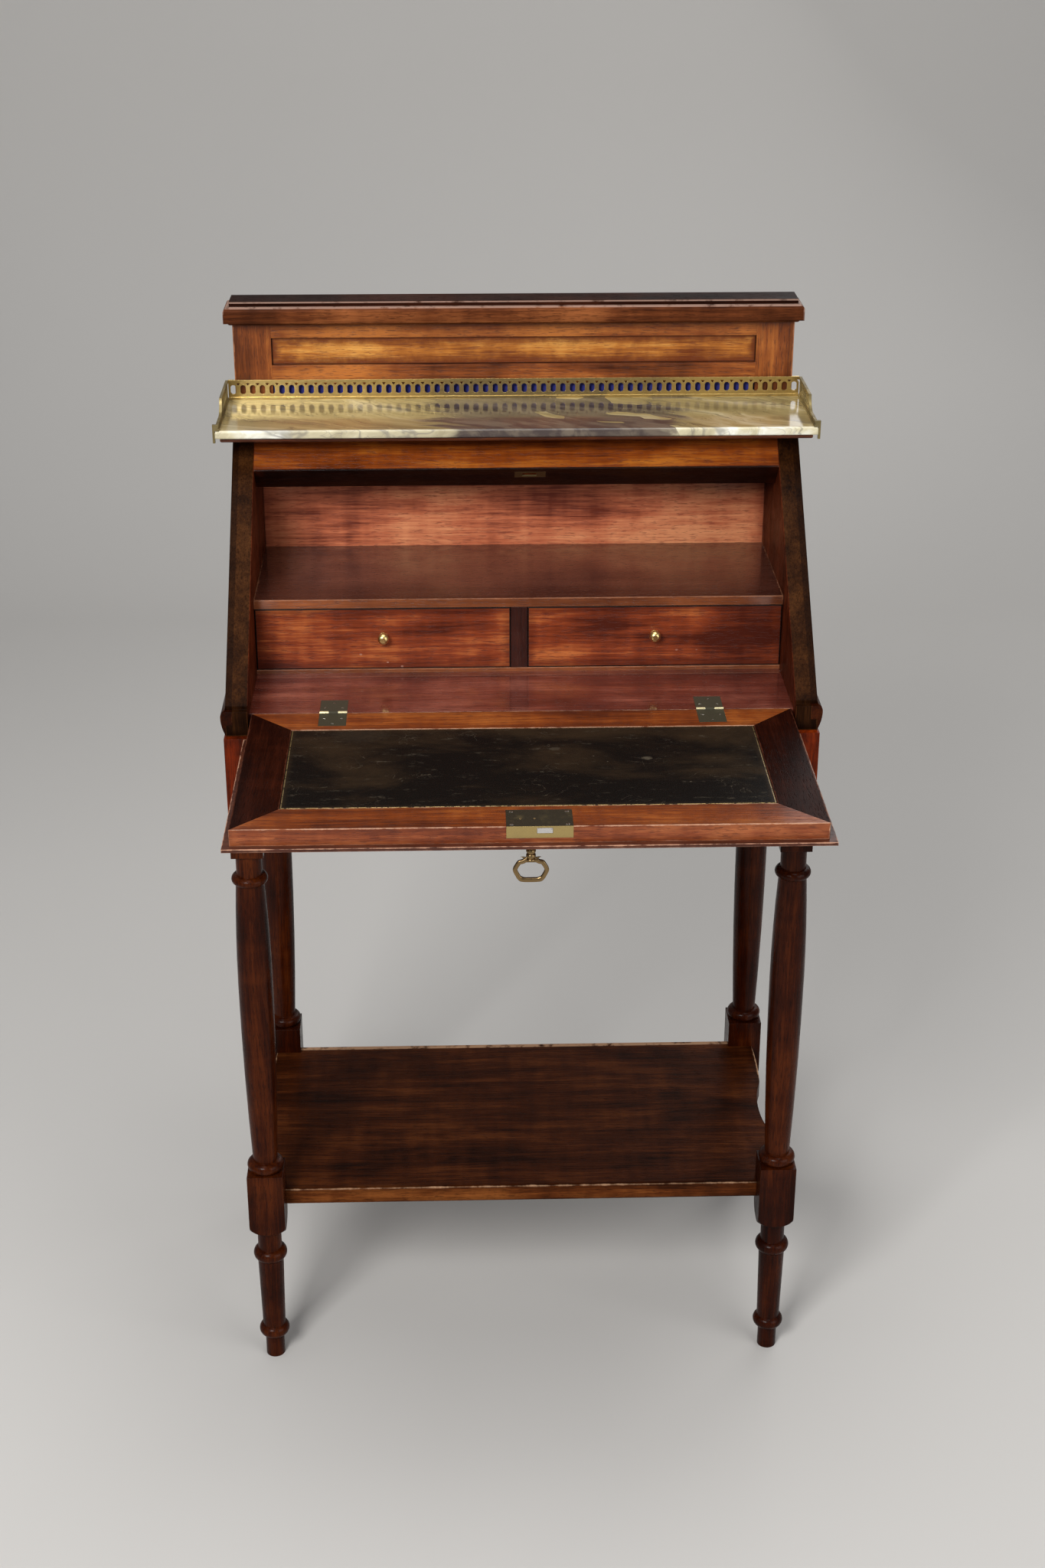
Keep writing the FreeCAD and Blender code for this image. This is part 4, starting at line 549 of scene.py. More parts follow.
@dataclass(frozen=True)
class Marble:
    """Polished cream and violet-brown brecciated marble."""

    pale: Colour = (0.55, 0.465, 0.28)
    cream: Colour = (0.36, 0.275, 0.120)
    ochre: Colour = (0.225, 0.165, 0.068)
    violet: Colour = (0.066, 0.048, 0.042)
    smoke: Colour = (0.155, 0.120, 0.088)
    vein: Colour = (0.11, 0.085, 0.050)
    # Painted light: the front edge is made lighter and whiter, this far in.
    front_highlight_tint: Colour = (1.75, 2.05, 3.1)
    front_highlight_depth: float = 0.0032
    dark_middle: float = 0.035
    dark_reach: float = 0.145

    RELIEF = 0.00010
    ARRIS = 0.0022

    def dress(self, name: str) -> Material:
        """Make the stone: a dark broken cloud near the middle, slanting veins towards the ends.

        Args:
            name: The slab's node.

        Returns:
            The material.
        """
        g = Graph("veined_marble", name)
        x, y, z = g.axes
        warp = g.noise(g.point, scale=9.0, detail=3.0)
        along = x - y * 0.8
        athwart = y + x * 0.55
        slant = g.joined(along * 5.0 + warp * 1.1, athwart * 30.0 + warp * 2.4, z * 22.0)
        cloud = g.noise(slant, detail=5.0, rough=0.6)
        body = g.ramp(cloud, [(0.34, self.ochre), (0.52, self.cream), (0.68, self.pale)])
        lines = (g.noise(slant, scale=0.7, detail=4.0, rough=0.55, warp=0.9) - HALF).size()
        body = g.mix(lines.rises(0.030, 0.0) * 0.6, body, self.vein)
        thread = (g.noise(slant, scale=1.9, detail=3.0, warp=0.6) - HALF).size()
        body = g.mix(thread.rises(0.010, 0.0) * 0.35, body, self.violet)
        aside = (x - self.dark_middle) * (1.0 / self.dark_reach)
        reach = 1.0 - aside * aside
        jag = g.joined(along * 24.0 + warp * 3.0, athwart * 42.0 + warp * 3.0, z * 60.0)
        island = g.parts(g.cells(jag, output="Color"))[0].rises(0.93, 0.96)
        split = g.cells(jag, feature="DISTANCE_TO_EDGE")
        mask = (reach * 1.1 + (cloud - HALF) * 3.0 - island * 1.6).rises(0.15, 0.60)
        drift = g.noise(slant, scale=2.2, detail=4.0, rough=0.6).rises(0.40, 0.62)
        smoke = g.mix(drift, self.violet, self.smoke)
        smoke = g.mix(split.rises(0.05, 0.0) * 0.35, smoke, self.violet)
        # Painted light: the slab's front edge made lighter and whiter.
        rim = (y - g.low.y).rises(self.front_highlight_depth, self.front_highlight_depth * 0.4)
        colour = g.mix(mask, g.tinted(rim, body, self.front_highlight_tint), smoke)
        scuff = g.noise(g.point, scale=90.0, detail=3.0)
        waves = g.noise(g.point, scale=16.0, detail=1.0)
        return g.finish({"Base Color": colour, "Roughness": scuff * 0.12 + 0.07,
                         "Coat Weight": 0.25, "Coat Roughness": 0.06},
                        waves, self.RELIEF, self.ARRIS)


@dataclass(frozen=True)
class Brass:
    """Old brass: bright where it is worn, brown or green-black in its patina.

    Cover is how much of it is patina, which is thinner in front of the front depth and above the
    bright height, worn there and, on the gallery's top rail, a painted highlight; dull is how far
    the patina is from a metal.
    """

    name: str
    bright: Colour
    patina: Colour
    cover: float
    rough: float
    front: float = -FAR
    rubbed_and_lit: float = FAR
    dull: float = 0.2
    shine: float = 0.5

    SCRATCH = Noise(300.0, 2600.0)
    RELIEF = 0.00004
    ARRIS = 0.00035

    def dress(self) -> Material:
        """Make the metal, with patches of patina and small scratches.

        Returns:
            The material.
        """
        g = Graph(self.name)
        x, y, z = g.axes
        patch = g.noise(g.point, scale=170.0, detail=4.0, rough=0.65)
        wide = g.noise(g.point, scale=50.0)
        cover = self.cover - (y - self.front).rises(0.0006, 0.0002) * 0.6
        # Less patina above the bright height: wear, and on the gallery's top rail a painted
        # highlight.
        cover = cover - (z - self.rubbed_and_lit).rises(-0.0003, 0.0003) * 0.7
        dark = (patch * 0.25 + wide * 0.6 + cover - 0.425).rises(0.20, 0.80)
        colour = g.mix(dark, self.bright, self.patina)
        scratch = g.layer(self.SCRATCH, x, y, z)
        rough = dark * 0.20 + scratch * 0.16 + (self.rough - 0.08)
        return g.finish({"Base Color": colour, "Roughness": rough,
                         "Metallic": 1.0 - dark * self.dull, "Specular IOR Level": self.shine},
                        patch * 0.6 + scratch * 0.4, self.RELIEF, self.ARRIS)


@dataclass(frozen=True)
class Steel:
    """Worn steel with faint rust."""

    name: str
    clean: Colour = (0.46, 0.44, 0.41)
    rust: Colour = (0.14, 0.08, 0.045)
    amount: float = 0.3

    RELIEF = 0.00003
    ARRIS = 0.0002

    def dress(self) -> Material:
        """Make the metal, with patches of rust.

        Returns:
            The material.
        """
        g = Graph(self.name)
        spread = g.noise(g.point, scale=320.0, detail=4.0, rough=0.7)
        patch = spread.rises(0.62 - self.amount * 0.2, 0.70)
        colour = g.mix(patch, self.clean, self.rust)
        return g.finish({"Base Color": colour, "Roughness": patch * 0.35 + 0.28,
                         "Metallic": 1.0 - patch * 0.6}, patch, self.RELIEF, self.ARRIS)


@dataclass(frozen=True)
class Leather:
    """Black-brown writing leather, scuffed, with a thin worn gilt line round it."""

    dark: Colour = (0.0042, 0.0033, 0.0025)
    brown: Colour = (0.0235, 0.0140, 0.0070)
    scuffed: Colour = (0.085, 0.068, 0.046)
    gilt: Colour = (0.40, 0.27, 0.11)
    line_in: float = 0.0013
    line_width: float = 0.0008
    # Scuffed marks: how far across and deep each lies, its size and its strength.
    marks: tuple[tuple[float, float, float, float], ...] = (
        (0.1095, -0.1350, 0.0052, 0.75), (0.0268, -0.1123, 0.0060, 0.35),
        (-0.0304, -0.2327, 0.0022, 0.8), (-0.1512, -0.0761, 0.0300, 0.10))

    RELIEF = 0.00016

    def dress(self, name: str) -> Material:
        """Make the leather.

        Args:
            name: The node whose box the gilt line follows.

        Returns:
            The material.
        """
        g = Graph("worn_leather", name)
        point, low, high = g.point, g.low, g.high
        x, y, _ = g.axes
        edge = (x - low.x).least(high.x - x).least((y - low.y).least(high.y - y))
        wide = g.noise(g.joined(x * 8.0, y * 15.0, 0.0), detail=5.0, rough=0.62, warp=0.4)
        colour = g.mix((wide + y * 1.2 + 0.16).rises(0.40, 0.66), self.dark, self.brown)
        fine = g.noise(point, scale=240.0, detail=3.0, rough=0.7)
        smear = g.noise(g.joined(x * 26.0, y * 120.0, 0.0), detail=4.0, rough=0.7)
        colour = g.mix(smear.rises(0.56, 0.72) * fine.rises(0.4, 0.6) * 0.5, colour, self.scuffed)
        swept = g.joined(x * 26.0 + y * 10.0, y * 30.0 - x * 12.0, 0.0)
        bow = (g.noise(swept, detail=3.0, warp=1.6) - HALF).size()
        scratch = bow.rises(0.006, 0.0) * g.noise(point, scale=19.0).rises(0.54, 0.62)
        colour = g.mix(scratch * 0.6, colour, self.scuffed)
        spots = g.cells(point, 60.0).rises(0.07, 0.03) * g.noise(point, scale=33.0).rises(0.55, 0.6)
        colour = g.mix(spots * 0.7, colour, self.scuffed)
        for across, deep, size, strength in self.marks:
            gap = g.joined((x - across) * (1.0 / size), (y - deep) * (1.5 / size), 0.0)
            away = g.vector("DOT_PRODUCT", gap, gap, "Value") + (fine - HALF) * 3.0
            colour = g.mix(away.rises(1.3, 0.1) * strength, colour, self.scuffed)
        rub = (edge + (fine - HALF) * 0.006).rises(0.007, 0.002)
        colour = g.mix(rub * 0.45, colour, self.brown)
        offset = (edge - self.line_in).size()
        gold = offset.rises(self.line_width * 0.7, self.line_width * 0.3) * fine.rises(0.38, 0.52)
        colour = g.mix(gold * 0.85, colour, self.gilt)
        rough = (1.0 - gold) * (fine * 0.2 + 0.38 - scratch * 0.1) + gold * 0.3
        groove = offset.rises(0.0008, 0.0)
        grain = g.cells(point, 900.0)
        height = grain * 0.5 + fine * 0.5 + wide * 1.5 - scratch * 0.5 - groove * 0.8
        return g.finish({"Base Color": colour, "Roughness": rough, "Metallic": gold * 0.7,
                         "Specular IOR Level": 0.08}, height, self.RELIEF)


@dataclass(frozen=True)
class BlueCloth:
    """Deep blue woven cloth, its threads followed on the piece's own UV map."""

    warp_thread: Colour = (0.022, 0.026, 0.270)
    weft_thread: Colour = (0.034, 0.040, 0.350)
    # Dark gaps between the threads: painted shade in the weave's hollows.
    gap: Colour = (0.003, 0.005, 0.040)
    faded: Colour = (0.060, 0.062, 0.330)
    threads_per_metre: float = 900.0

    RELIEF = 0.00018

    def dress(self) -> Material:
        """Make the cloth: a plain weave from two crossed sine waves.

        Returns:
            The material.
        """
        g = Graph("blue_cloth")
        u, v, _ = g.parts(g.node("ShaderNodeTexCoord", output="UV"))
        turn = math.pi * self.threads_per_metre
        over = ((u * turn).sine() * (v * turn).sine()).rises(-0.25, 0.25)
        warp = (u * (2 * turn)).sine() * 0.5 + 0.5
        weft = (v * (2 * turn)).sine() * 0.5 + 0.5
        height = over * warp + (1.0 - over) * weft
        colour = g.mix(over, self.weft_thread, self.warp_thread)
        # Painted shade: the weave's hollows darkened.
        colour = g.mix(height.rises(0.35, 0.0), colour, self.gap)
        slub = g.noise(g.joined(u * 40.0, v * 900.0, 0.0))
        colour = g.mix(slub.rises(0.55, 0.7) * 0.3, colour, self.faded)
        cloud = g.noise(g.joined(u * 5.0, v * 9.0, 0.0), detail=4.0, rough=0.6)
        colour = g.mix(cloud.rises(0.44, 0.68) * 0.45, colour, self.faded)
        colour = g.mix(cloud.rises(0.50, 0.30) * 0.22, colour, self.gap)
        return g.finish({"Base Color": colour, "Roughness": 0.82, "Sheen Weight": 0.35,
                         "Sheen Roughness": 0.4}, height, self.RELIEF)


# ---- mesh making


def stand(name: str, data: Any) -> Object:
    """Put a new object in the scene.

    Args:
        name: Its name.
        data: Its mesh, lamp or camera.

    Returns:
        The object.
    """
    made = bpy.data.objects.new(name, data)
    bpy.context.scene.collection.objects.link(made)
    return made


def circle(count: int) -> np.ndarray:
    """Angles evenly round a circle."""
    return np.linspace(0.0, 2 * math.pi, count, endpoint=False)


def grid_faces(rows: int, columns: int, closed: bool) -> np.ndarray:
    """Quads between neighbours of a grid of points, row by row.

    Args:
        rows: Points along the first parameter.
        columns: Points along the second.
        closed: Whether the last column joins the first.

    Returns:
        Four point numbers for each face.
    """
    row = np.arange(rows - 1)[:, None]
    column = np.arange(columns if closed else columns - 1)[None, :]
    following = (column + 1) % columns
    corners = (row * columns + column, row * columns + following,
               (row + 1) * columns + following, (row + 1) * columns + column)
    return np.stack([corner.ravel() for corner in corners], axis=1)


@dataclass
class Skin:
    """Points and faces that are gathered into one mesh."""

    points: list[np.ndarray] = field(default_factory=list)
    faces: list[np.ndarray] = field(default_factory=list)
    uv: list[np.ndarray] = field(default_factory=list)
    count: int = 0

    def add(self, points: np.ndarray, closed: bool = False, uv: np.ndarray | None = None) -> None:
        """Add a grid of points with its quads.

        Args:
            points: The grid, three numbers for each point.
            closed: Whether its last column joins its first.
            uv: Its places on the cloth or leather, two numbers for each point.
        """
        flat = points.reshape(-1, 3)
        self.points.append(flat)
        self.faces.append(grid_faces(*points.shape[:2], closed) + self.count)
        self.uv.append(np.zeros((len(flat), 2)) if uv is None else uv.reshape(-1, 2))
        self.count += len(flat)

    def piece(self, name: str, material: Material, body: str, slot: str,
              smooth: float = 35.0) -> Object:
        """Make the mesh and its object, with its doubles merged and its faces turned outwards.

        Args:
            name: The piece's name.
            material: Its finish.
            body: The moving body that it rides on.
            slot: Not used.
            smooth: The sharpest angle that is shaded smooth, in degrees.

        Returns:
            The piece.
        """
        points = np.concatenate(self.points)
        faces = np.concatenate(self.faces)
        mesh = bpy.data.meshes.new(name)
        mesh.from_pydata(points.tolist(), [], faces.tolist())
        layer = mesh.uv_layers.new(name="surface")
        order = np.zeros(len(mesh.loops), dtype=np.int32)
        mesh.loops.foreach_get("vertex_index", order)
        layer.data.foreach_set("uv", np.concatenate(self.uv)[order].ravel().astype(np.float32))
        made = stand(name, mesh)
        shape = bmesh.new()
        shape.from_mesh(mesh)
        bmesh.ops.remove_doubles(shape, verts=shape.verts, dist=1e-7)
        bmesh.ops.dissolve_degenerate(shape, dist=1e-8, edges=shape.edges)
        bmesh.ops.recalc_face_normals(shape, faces=shape.faces)
        for face in shape.faces:
            face.smooth = True
        for edge in shape.edges:
            if len(edge.link_faces) == 2 and edge.calc_face_angle(0.0) > math.radians(smooth):
                edge.smooth = False
        shape.to_mesh(mesh)
        shape.free()
        mesh.materials.append(material)
        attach(made, body)
        return made


def turned(profile: Sequence[tuple[float, float]], around: int) -> np.ndarray:
    """Points of a turned shape about the Z axis.

    Each profile point, a radius and a height, is carried round: x = r cos t, y = r sin t, z = h.

    Args:
        profile: Radius and height pairs, from one pole or rim to the other.
        around: Points round the axis.

    Returns:
        A grid with one row for each profile point.
    """
    radius, height = np.array(profile, float).T
    angle = circle(around)
    return np.stack([radius[:, None] * np.cos(angle), radius[:, None] * np.sin(angle),
                     np.repeat(height[:, None], around, axis=1)], axis=-1)


def horn(x: np.ndarray, z: np.ndarray, width: np.ndarray, around: int = 12) -> np.ndarray:
    """Points of a tapering horn in an upright plane.

    Round each point of the line (x, 0, z), a circle of the given radius stands across the line:
    p = (x, 0, z) + w (n cos a + y sin a), where n is the line's normal and y the depth.

    Args:
        x: Places across.
        z: Heights.
        width: The radius at each place; nothing at both ends closes it.
        around: Points round the horn.

    Returns:
        A grid of points.
    """
    slope = np.stack([np.gradient(x), np.gradient(z)], axis=-1)
    slope /= np.linalg.norm(slope, axis=1, keepdims=True)
    angle = circle(around)
    reach = width[:, None] * np.cos(angle)
    return np.stack([x[:, None] - slope[:, 1:2] * reach, width[:, None] * np.sin(angle),
                     z[:, None] + slope[:, 0:1] * reach], axis=-1)


def screw_head(radius: float, rise: float, slot_angle: float) -> np.ndarray:
    """Points of a slotted screw head whose rim lies at height zero.

    The height is a shallow dome, rise (1 - (r/R)^2), less a slot 0.28 R deep, whose walls stand
    from 0.12 R to 0.17 R off its line.

    Args:
        radius: The head's radius.
        rise: The dome's height at its middle.
        slot_angle: The slot's direction, in radians.

    Returns:
        A grid of points, rim first, with a skirt below the rim.
    """
    ring = np.concatenate([[1.0, 1.0], np.linspace(0.97, 0.0, 14)])[:, None]
    angle = circle(48)
    x = radius * ring * np.cos(angle)
    y = radius * ring * np.sin(angle)
    line = np.abs(x * math.sin(slot_angle) - y * math.cos(slot_angle)) / radius
    depth = np.clip((0.17 - line) / 0.05, 0.0, 1.0) * (ring < 1.0)
    z = rise * (1.0 - ring ** 2) - depth * radius * 0.28
    z[0] = -radius * 0.5
    return np.stack([x, y, z], axis=-1)


# ---- the desk


@dataclass(frozen=True)
class Head:
    """A screw's or a rivet's head: its radius, its rise and how deep its rim is sunk."""

    radius: float
    rise: float
    sunk: float


# Its undersides are painted darker: painted shade.
WARM = Mahogany(under_shade=(0.5, 0.45, 0.45))
SCREEN = Mahogany((0.050, 0.011, 0.003), (0.215, 0.055, 0.012), (0.44, 0.143, 0.029), stile=0.2431,
                  edge_dirt_and_shade=0.6, blotch=2.1)
# Its underside and lower face are painted nearly black: painted shade.
SLOPE = Mahogany((0.072, 0.012, 0.002), (0.230, 0.046, 0.005), (0.47, 0.142, 0.016), figure=1.15,
                 under_shade=(0.06, 0.05, 0.08), under_shade_depth=0.009, wear=0.3, lower_face=0.2521)
# The recessed panel's strong edge darkening and rim are a painted shade line, with dirt.
GOLDEN = Mahogany((0.140, 0.030, 0.006), (0.44, 0.150, 0.024), (0.72, 0.34, 0.075), blotch=1.8,
                  figure=1.3, wear=0.0, edge_dirt_and_shade=0.95, rim=0.8)
# The cap's top is painted dark (painted shade); its lines are painted highlights with wear.
CORNICE = Mahogany((0.030, 0.008, 0.003), (0.118, 0.032, 0.010), (0.29, 0.092, 0.028),
                   worn=(0.40, 0.25, 0.19), blotch=2.0, top=(0.14, 0.10, 0.11), top_depth=0.0054,
                   wear=0.7, shine=0.03, coat=0.0, rough=0.42, lines=(1.0690, 1.0643))
RED = Mahogany((0.150, 0.027, 0.012), (0.50, 0.132, 0.058), (0.74, 0.29, 0.130), coat=0.25,
               figure=1.2, blotch=1.2, wear=0.0, edge_dirt_and_shade=0.45, rim=0.5)
FLOOR = Mahogany((0.045, 0.009, 0.006), (0.120, 0.025, 0.015), (0.27, 0.080, 0.050), blotch=1.4,
                 wear=0.0, rough=0.13, coat=1.0, shine=0.45, edge_dirt_and_shade=0.2, polish=0.04)
# Its rim darkens the gap round the drawer fronts: dirt and painted shade.
DRAWER = Mahogany((0.065, 0.010, 0.004), (0.225, 0.040, 0.012), (0.56, 0.165, 0.044),
                  worn=(0.50, 0.30, 0.22), figure=1.1, blotch=1.9, wear=0.0, edge_dirt_and_shade=0.5, rim=1.0,
                  dents=0.6)
# Its front face is painted lighter: painted light.
NEST = Mahogany((0.025, 0.007, 0.005), (0.058, 0.018, 0.011), (0.110, 0.036, 0.022),
                worn=(0.40, 0.17, 0.085), figure=0.8, wear=0.5, rough=0.16, coat=0.9, shine=0.40,
                front=(3.5, 3.2, 1.8), edge_dirt_and_shade=0.2)
DIVIDER = Mahogany((0.018, 0.005, 0.004), (0.042, 0.011, 0.007), (0.080, 0.022, 0.013), wear=0.0)
# Its front face is painted lighter and paler: painted light.
RAIL = Mahogany((0.058, 0.011, 0.003), (0.186, 0.038, 0.006), (0.37, 0.105, 0.018),
                worn=(0.58, 0.33, 0.21), figure=1.2, wear=0.75, wear_width=0.0009,
                front=(1.25, 1.35, 2.6))
SIDE_RAIL = Mahogany((0.006, 0.0012, 0.0007), (0.014, 0.0027, 0.0012), (0.038, 0.0075, 0.003),
                     worn=(0.20, 0.06, 0.03), wear=0.3, shine=0.03, coat=0.0)
LIP = Mahogany((0.028, 0.007, 0.003), (0.085, 0.020, 0.009), (0.18, 0.055, 0.024),
               worn=(0.55, 0.29, 0.18), wear=0.8, wear_width=0.0007)
DARK = Mahogany((0.008, 0.0016, 0.0005), (0.034, 0.0058, 0.0010), (0.086, 0.018, 0.0034),
                worn=(0.14, 0.042, 0.013), blotch=1.0, wear=0.3, rough=0.30, coat=0.02, shine=0.05)
# The upper 110 mm of each leg is painted lighter: painted light.
LEG = Mahogany((0.007, 0.0013, 0.0005), (0.029, 0.0044, 0.0007), (0.078, 0.0155, 0.0026),
               worn=(0.14, 0.042, 0.013), blotch=1.2, wear=0.25, rough=0.27, coat=0.05, shine=0.06,
               top=(5.6, 3.7, 1.9), top_depth=0.110)
# Front face painted lighter (painted light); back edge painted highlight; arrises wear and
# highlight.
SHELF = Mahogany((0.011, 0.0026, 0.0008), (0.044, 0.0098, 0.0022), (0.104, 0.028, 0.0062),
                 worn=(0.52, 0.30, 0.17), wear=1.0, wear_width=0.0021, front=(2.3, 2.6, 2.6),
                 figure=1.25, shine=0.03, coat=0.0, rough=0.38, back_highlight=0.0088)
JAMB = Mahogany((0.006, 0.0018, 0.0007), (0.030, 0.0095, 0.0024), (0.068, 0.0235, 0.0060),
                worn=(0.20, 0.070, 0.020), edge_dirt_and_shade=0.7, figure=1.1, shine=0.03, coat=0.0, rough=0.40,
                outer=0.2722, inner=(2.1, 1.15, 1.3))
PLAIN = PlainWood()
INSIDE = PlainWood(dark=(0.055, 0.018, 0.006), pale=(0.215, 0.088, 0.030))

# Finish, grain and nodes; the order says where in the log each board was cut.
BOARDS = (
    (LEG, Grain.UPRIGHT, "leg_front_left leg_front_right leg_back_left leg_back_right"),
    (SHELF, Grain.ACROSS, "lower_shelf"),
    (DARK, Grain.ACROSS, "apron_front apron_back"),
    (DARK, Grain.DEEP, "apron_left apron_right"),
    (PLAIN, Grain.ACROSS, "front_rail"),
    (JAMB, Grain.UPRIGHT, "side_left side_right"),
    (DARK, Grain.DEEP, "waist_moulding_left waist_moulding_right"),
    (FLOOR, Grain.ACROSS, "writing_floor"),
    (RED, Grain.ACROSS, "inner_back_panel"),
    (INSIDE, Grain.ACROSS, "case_back"),
    (SLOPE, Grain.ACROSS, "slope_rail"),
    (PLAIN, Grain.ACROSS, "top_board"),
    (WARM, Grain.ACROSS, "top_frame_front"),
    (DARK, Grain.DEEP, "top_frame_left top_frame_right"),
    (NEST, Grain.ACROSS, "nest_base nest_shelf"),
    (DIVIDER, Grain.UPRIGHT, "nest_divider"),
    (PLAIN, Grain.DEEP, "loper_runners"),
    (RAIL, Grain.ACROSS, "fall_rail_front fall_rail_back"),
    (SIDE_RAIL, Grain.DEEP, "fall_rail_left fall_rail_right"),
    (WARM, Grain.ACROSS, "fall_core"),
    (LIP, Grain.ACROSS, "fall_lip"),
    (DRAWER, Grain.ACROSS, "drawer_left_front drawer_right_front"),
    (PLAIN, Grain.DEEP, "drawer_left_box drawer_right_box"),
    (PLAIN, Grain.ACROSS, "drawer_left_bottom drawer_right_bottom"),
    (SCREEN, Grain.ACROSS, "screen_frame"),
    (GOLDEN, Grain.ACROSS, "screen_panel"),
    (CORNICE, Grain.ACROSS, "screen_cap"),
    (WARM, Grain.DEEP, "loper_left loper_right"),
)
FIRST_SEED = 0.37
SEED_STEP = 0.613

KEY_BRASS = Brass("key_brass", (0.25, 0.165, 0.075), (0.038, 0.024, 0.012), 0.22, 0.30, dull=0.45)
METALS = (
    (Brass("gallery_return_brass", (0.44, 0.34, 0.15), (0.060, 0.045, 0.020), 0.50, 0.34,
           dull=0.6, shine=0.2), "gallery_left gallery_right"),
    (Brass("knob_brass", (0.74, 0.54, 0.22), (0.20, 0.125, 0.045), -0.26, 0.30),
     "drawer_left_knob drawer_right_knob"),
    (Brass("patinated_brass", (0.45, 0.36, 0.17), (0.050, 0.046, 0.030), 0.10, 0.34),
     "strike_plate escutcheon"),
    (Brass("lock_brass", (0.50, 0.37, 0.150), (0.032, 0.025, 0.014), 0.80, 0.30, front=-0.2735,
           dull=0.7, shine=0.25), "lock"),
    (Steel("bolt_steel", clean=(0.70, 0.68, 0.66)), "hinge_pins lock_bolt"),
    # Its top rail is bright above its height: painted highlight.
    (Brass("gallery_brass", (0.82, 0.62, 0.26), (0.110, 0.073, 0.022), -0.08, 0.24, rubbed_and_lit=0.9898),
     "gallery_back"),
    (Brass("hinge_brass", (0.62, 0.53, 0.31), (0.052, 0.044, 0.028), 1.0, 0.32, rubbed_and_lit=0.7414,
           dull=0.95, shine=0.12), "hinge_leaves_floor"),
    (Brass("fall_hinge_brass", (0.40, 0.33, 0.19), (0.046, 0.040, 0.024), 0.95, 0.34,
           dull=0.95, shine=0.12), "hinge_leaves_fall"),
    (KEY_BRASS, "key"),
)


def wear(node: Object, material: Material) -> None:
    """Put a finish on all of a carried-over node.

    Args:
        node: The node.
        material: The finish.
    """
    if not node.material_slots:
        node.data.materials.append(material)
    for place in node.material_slots:
        place.material = material


@dataclass
class CarriedOver:
    """The frame's own nodes, which only take finishes."""

    nodes: dict[str, Object]

    def dress_wood(self) -> int:
        """Give each board wood with grain of its own.

        Returns:
            How many boards there are.
        """
        boards = [(row, name) for row in BOARDS for name in row[2].split()]
        for index, ((finish, grain, _), name) in enumerate(boards):
            wear(self.nodes[name], finish.dress(name, grain, FIRST_SEED + SEED_STEP * index))
        return len(boards)

    def dress_stone_and_metal(self) -> None:
        """Give the marble and the metal their finishes."""
        wear(self.nodes["marble_top"], Marble().dress("marble_top"))
        for finish, names in METALS:
            metal = finish.dress()
            for name in names.split():
                wear(self.nodes[name], metal)


@dataclass
class ScreenCloth:
    """The blue cloth stretched in the rising screen's frame."""

    sag: float = 1.2 * MM
    front: float = 0.6 * MM
    thickness: float = 0.7 * MM
    across: int = 120
    up: int = 72

    def build(self) -> Object:
        """Stretch the cloth over its strainer.

        The sheet lies behind the front of its solid and bellies back in its middle:
        y = low + front + sag (1 - u^2)(1 - v^2), where u and v run from -1 to 1.

        Returns:
            The sheet.
        """
        low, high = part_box("screen_cloth")
        u, v = np.meshgrid(np.linspace(-1, 1, self.across), np.linspace(-1, 1, self.up))
        x = (low.x + high.x) / 2 + u * (high.x - low.x) / 2
        z = (low.z + high.z) / 2 + v * (high.z - low.z) / 2
        y = low.y + self.front + self.sag * (1 - u ** 2) * (1 - v ** 2)
        skin = Skin()
        skin.add(np.stack([x, y, z], axis=-1), uv=np.stack([x, z], axis=-1))
        sheet = skin.piece("blue_screen_cloth", BlueCloth().dress(), "screen", "cloth")
        wall = sheet.modifiers.new("cloth_thickness", "SOLIDIFY")
        wall.thickness = self.thickness
        wall.offset = 0.0
        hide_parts("screen_cloth")
        return sheet


@dataclass
class WritingLeather:
    """The leather skin laid in the fall's rails."""

    swell: float = 0.12 * MM
    turn_down: float = 0.35 * MM
    border: float = 0.8 * MM
    inset: float = 0.05 * MM
    thickness: float = 0.55 * MM
    across: int = 170
    deep: int = 70

    def build(self) -> Object:
        """Lay the skin on its core.

        Its top is z = high - swell (2 + sin a sin b) / 3 - turn_down exp(-d / border), where a and
        b grow across and deep, and d is the distance to the nearest edge: it ripples a little and
        turns down at its border.

        Returns:
            The skin.
        """
        low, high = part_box("fall_leather")
        u, v = np.meshgrid(np.linspace(0, 1, self.across), np.linspace(0, 1, self.deep))
        x = np.clip(low.x + u * (high.x - low.x), low.x + self.inset, high.x - self.inset)
        y = np.clip(low.y + v * (high.y - low.y), low.y + self.inset, high.y - self.inset)
        edge = np.minimum(np.minimum(x - low.x, high.x - x), np.minimum(y - low.y, high.y - y))
        ripple = np.sin(31.0 * x + 7.0 * y) * np.sin(43.0 * y - 5.0 * x)
        fall = self.turn_down * np.exp(-edge / self.border)
        z = high.z - self.swell * (2.0 + ripple) / 3.0 - fall
        skin = Skin()
        skin.add(np.stack([x, y, z], axis=-1), uv=np.stack([x, y], axis=-1))
        made = skin.piece("desk_leather", Leather().dress("fall_leather"), "fall", "leather")
        body = made.modifiers.new("skin_thickness", "SOLIDIFY")
        body.thickness = self.thickness
        body.offset = -1.0
        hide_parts("fall_leather")
        return made


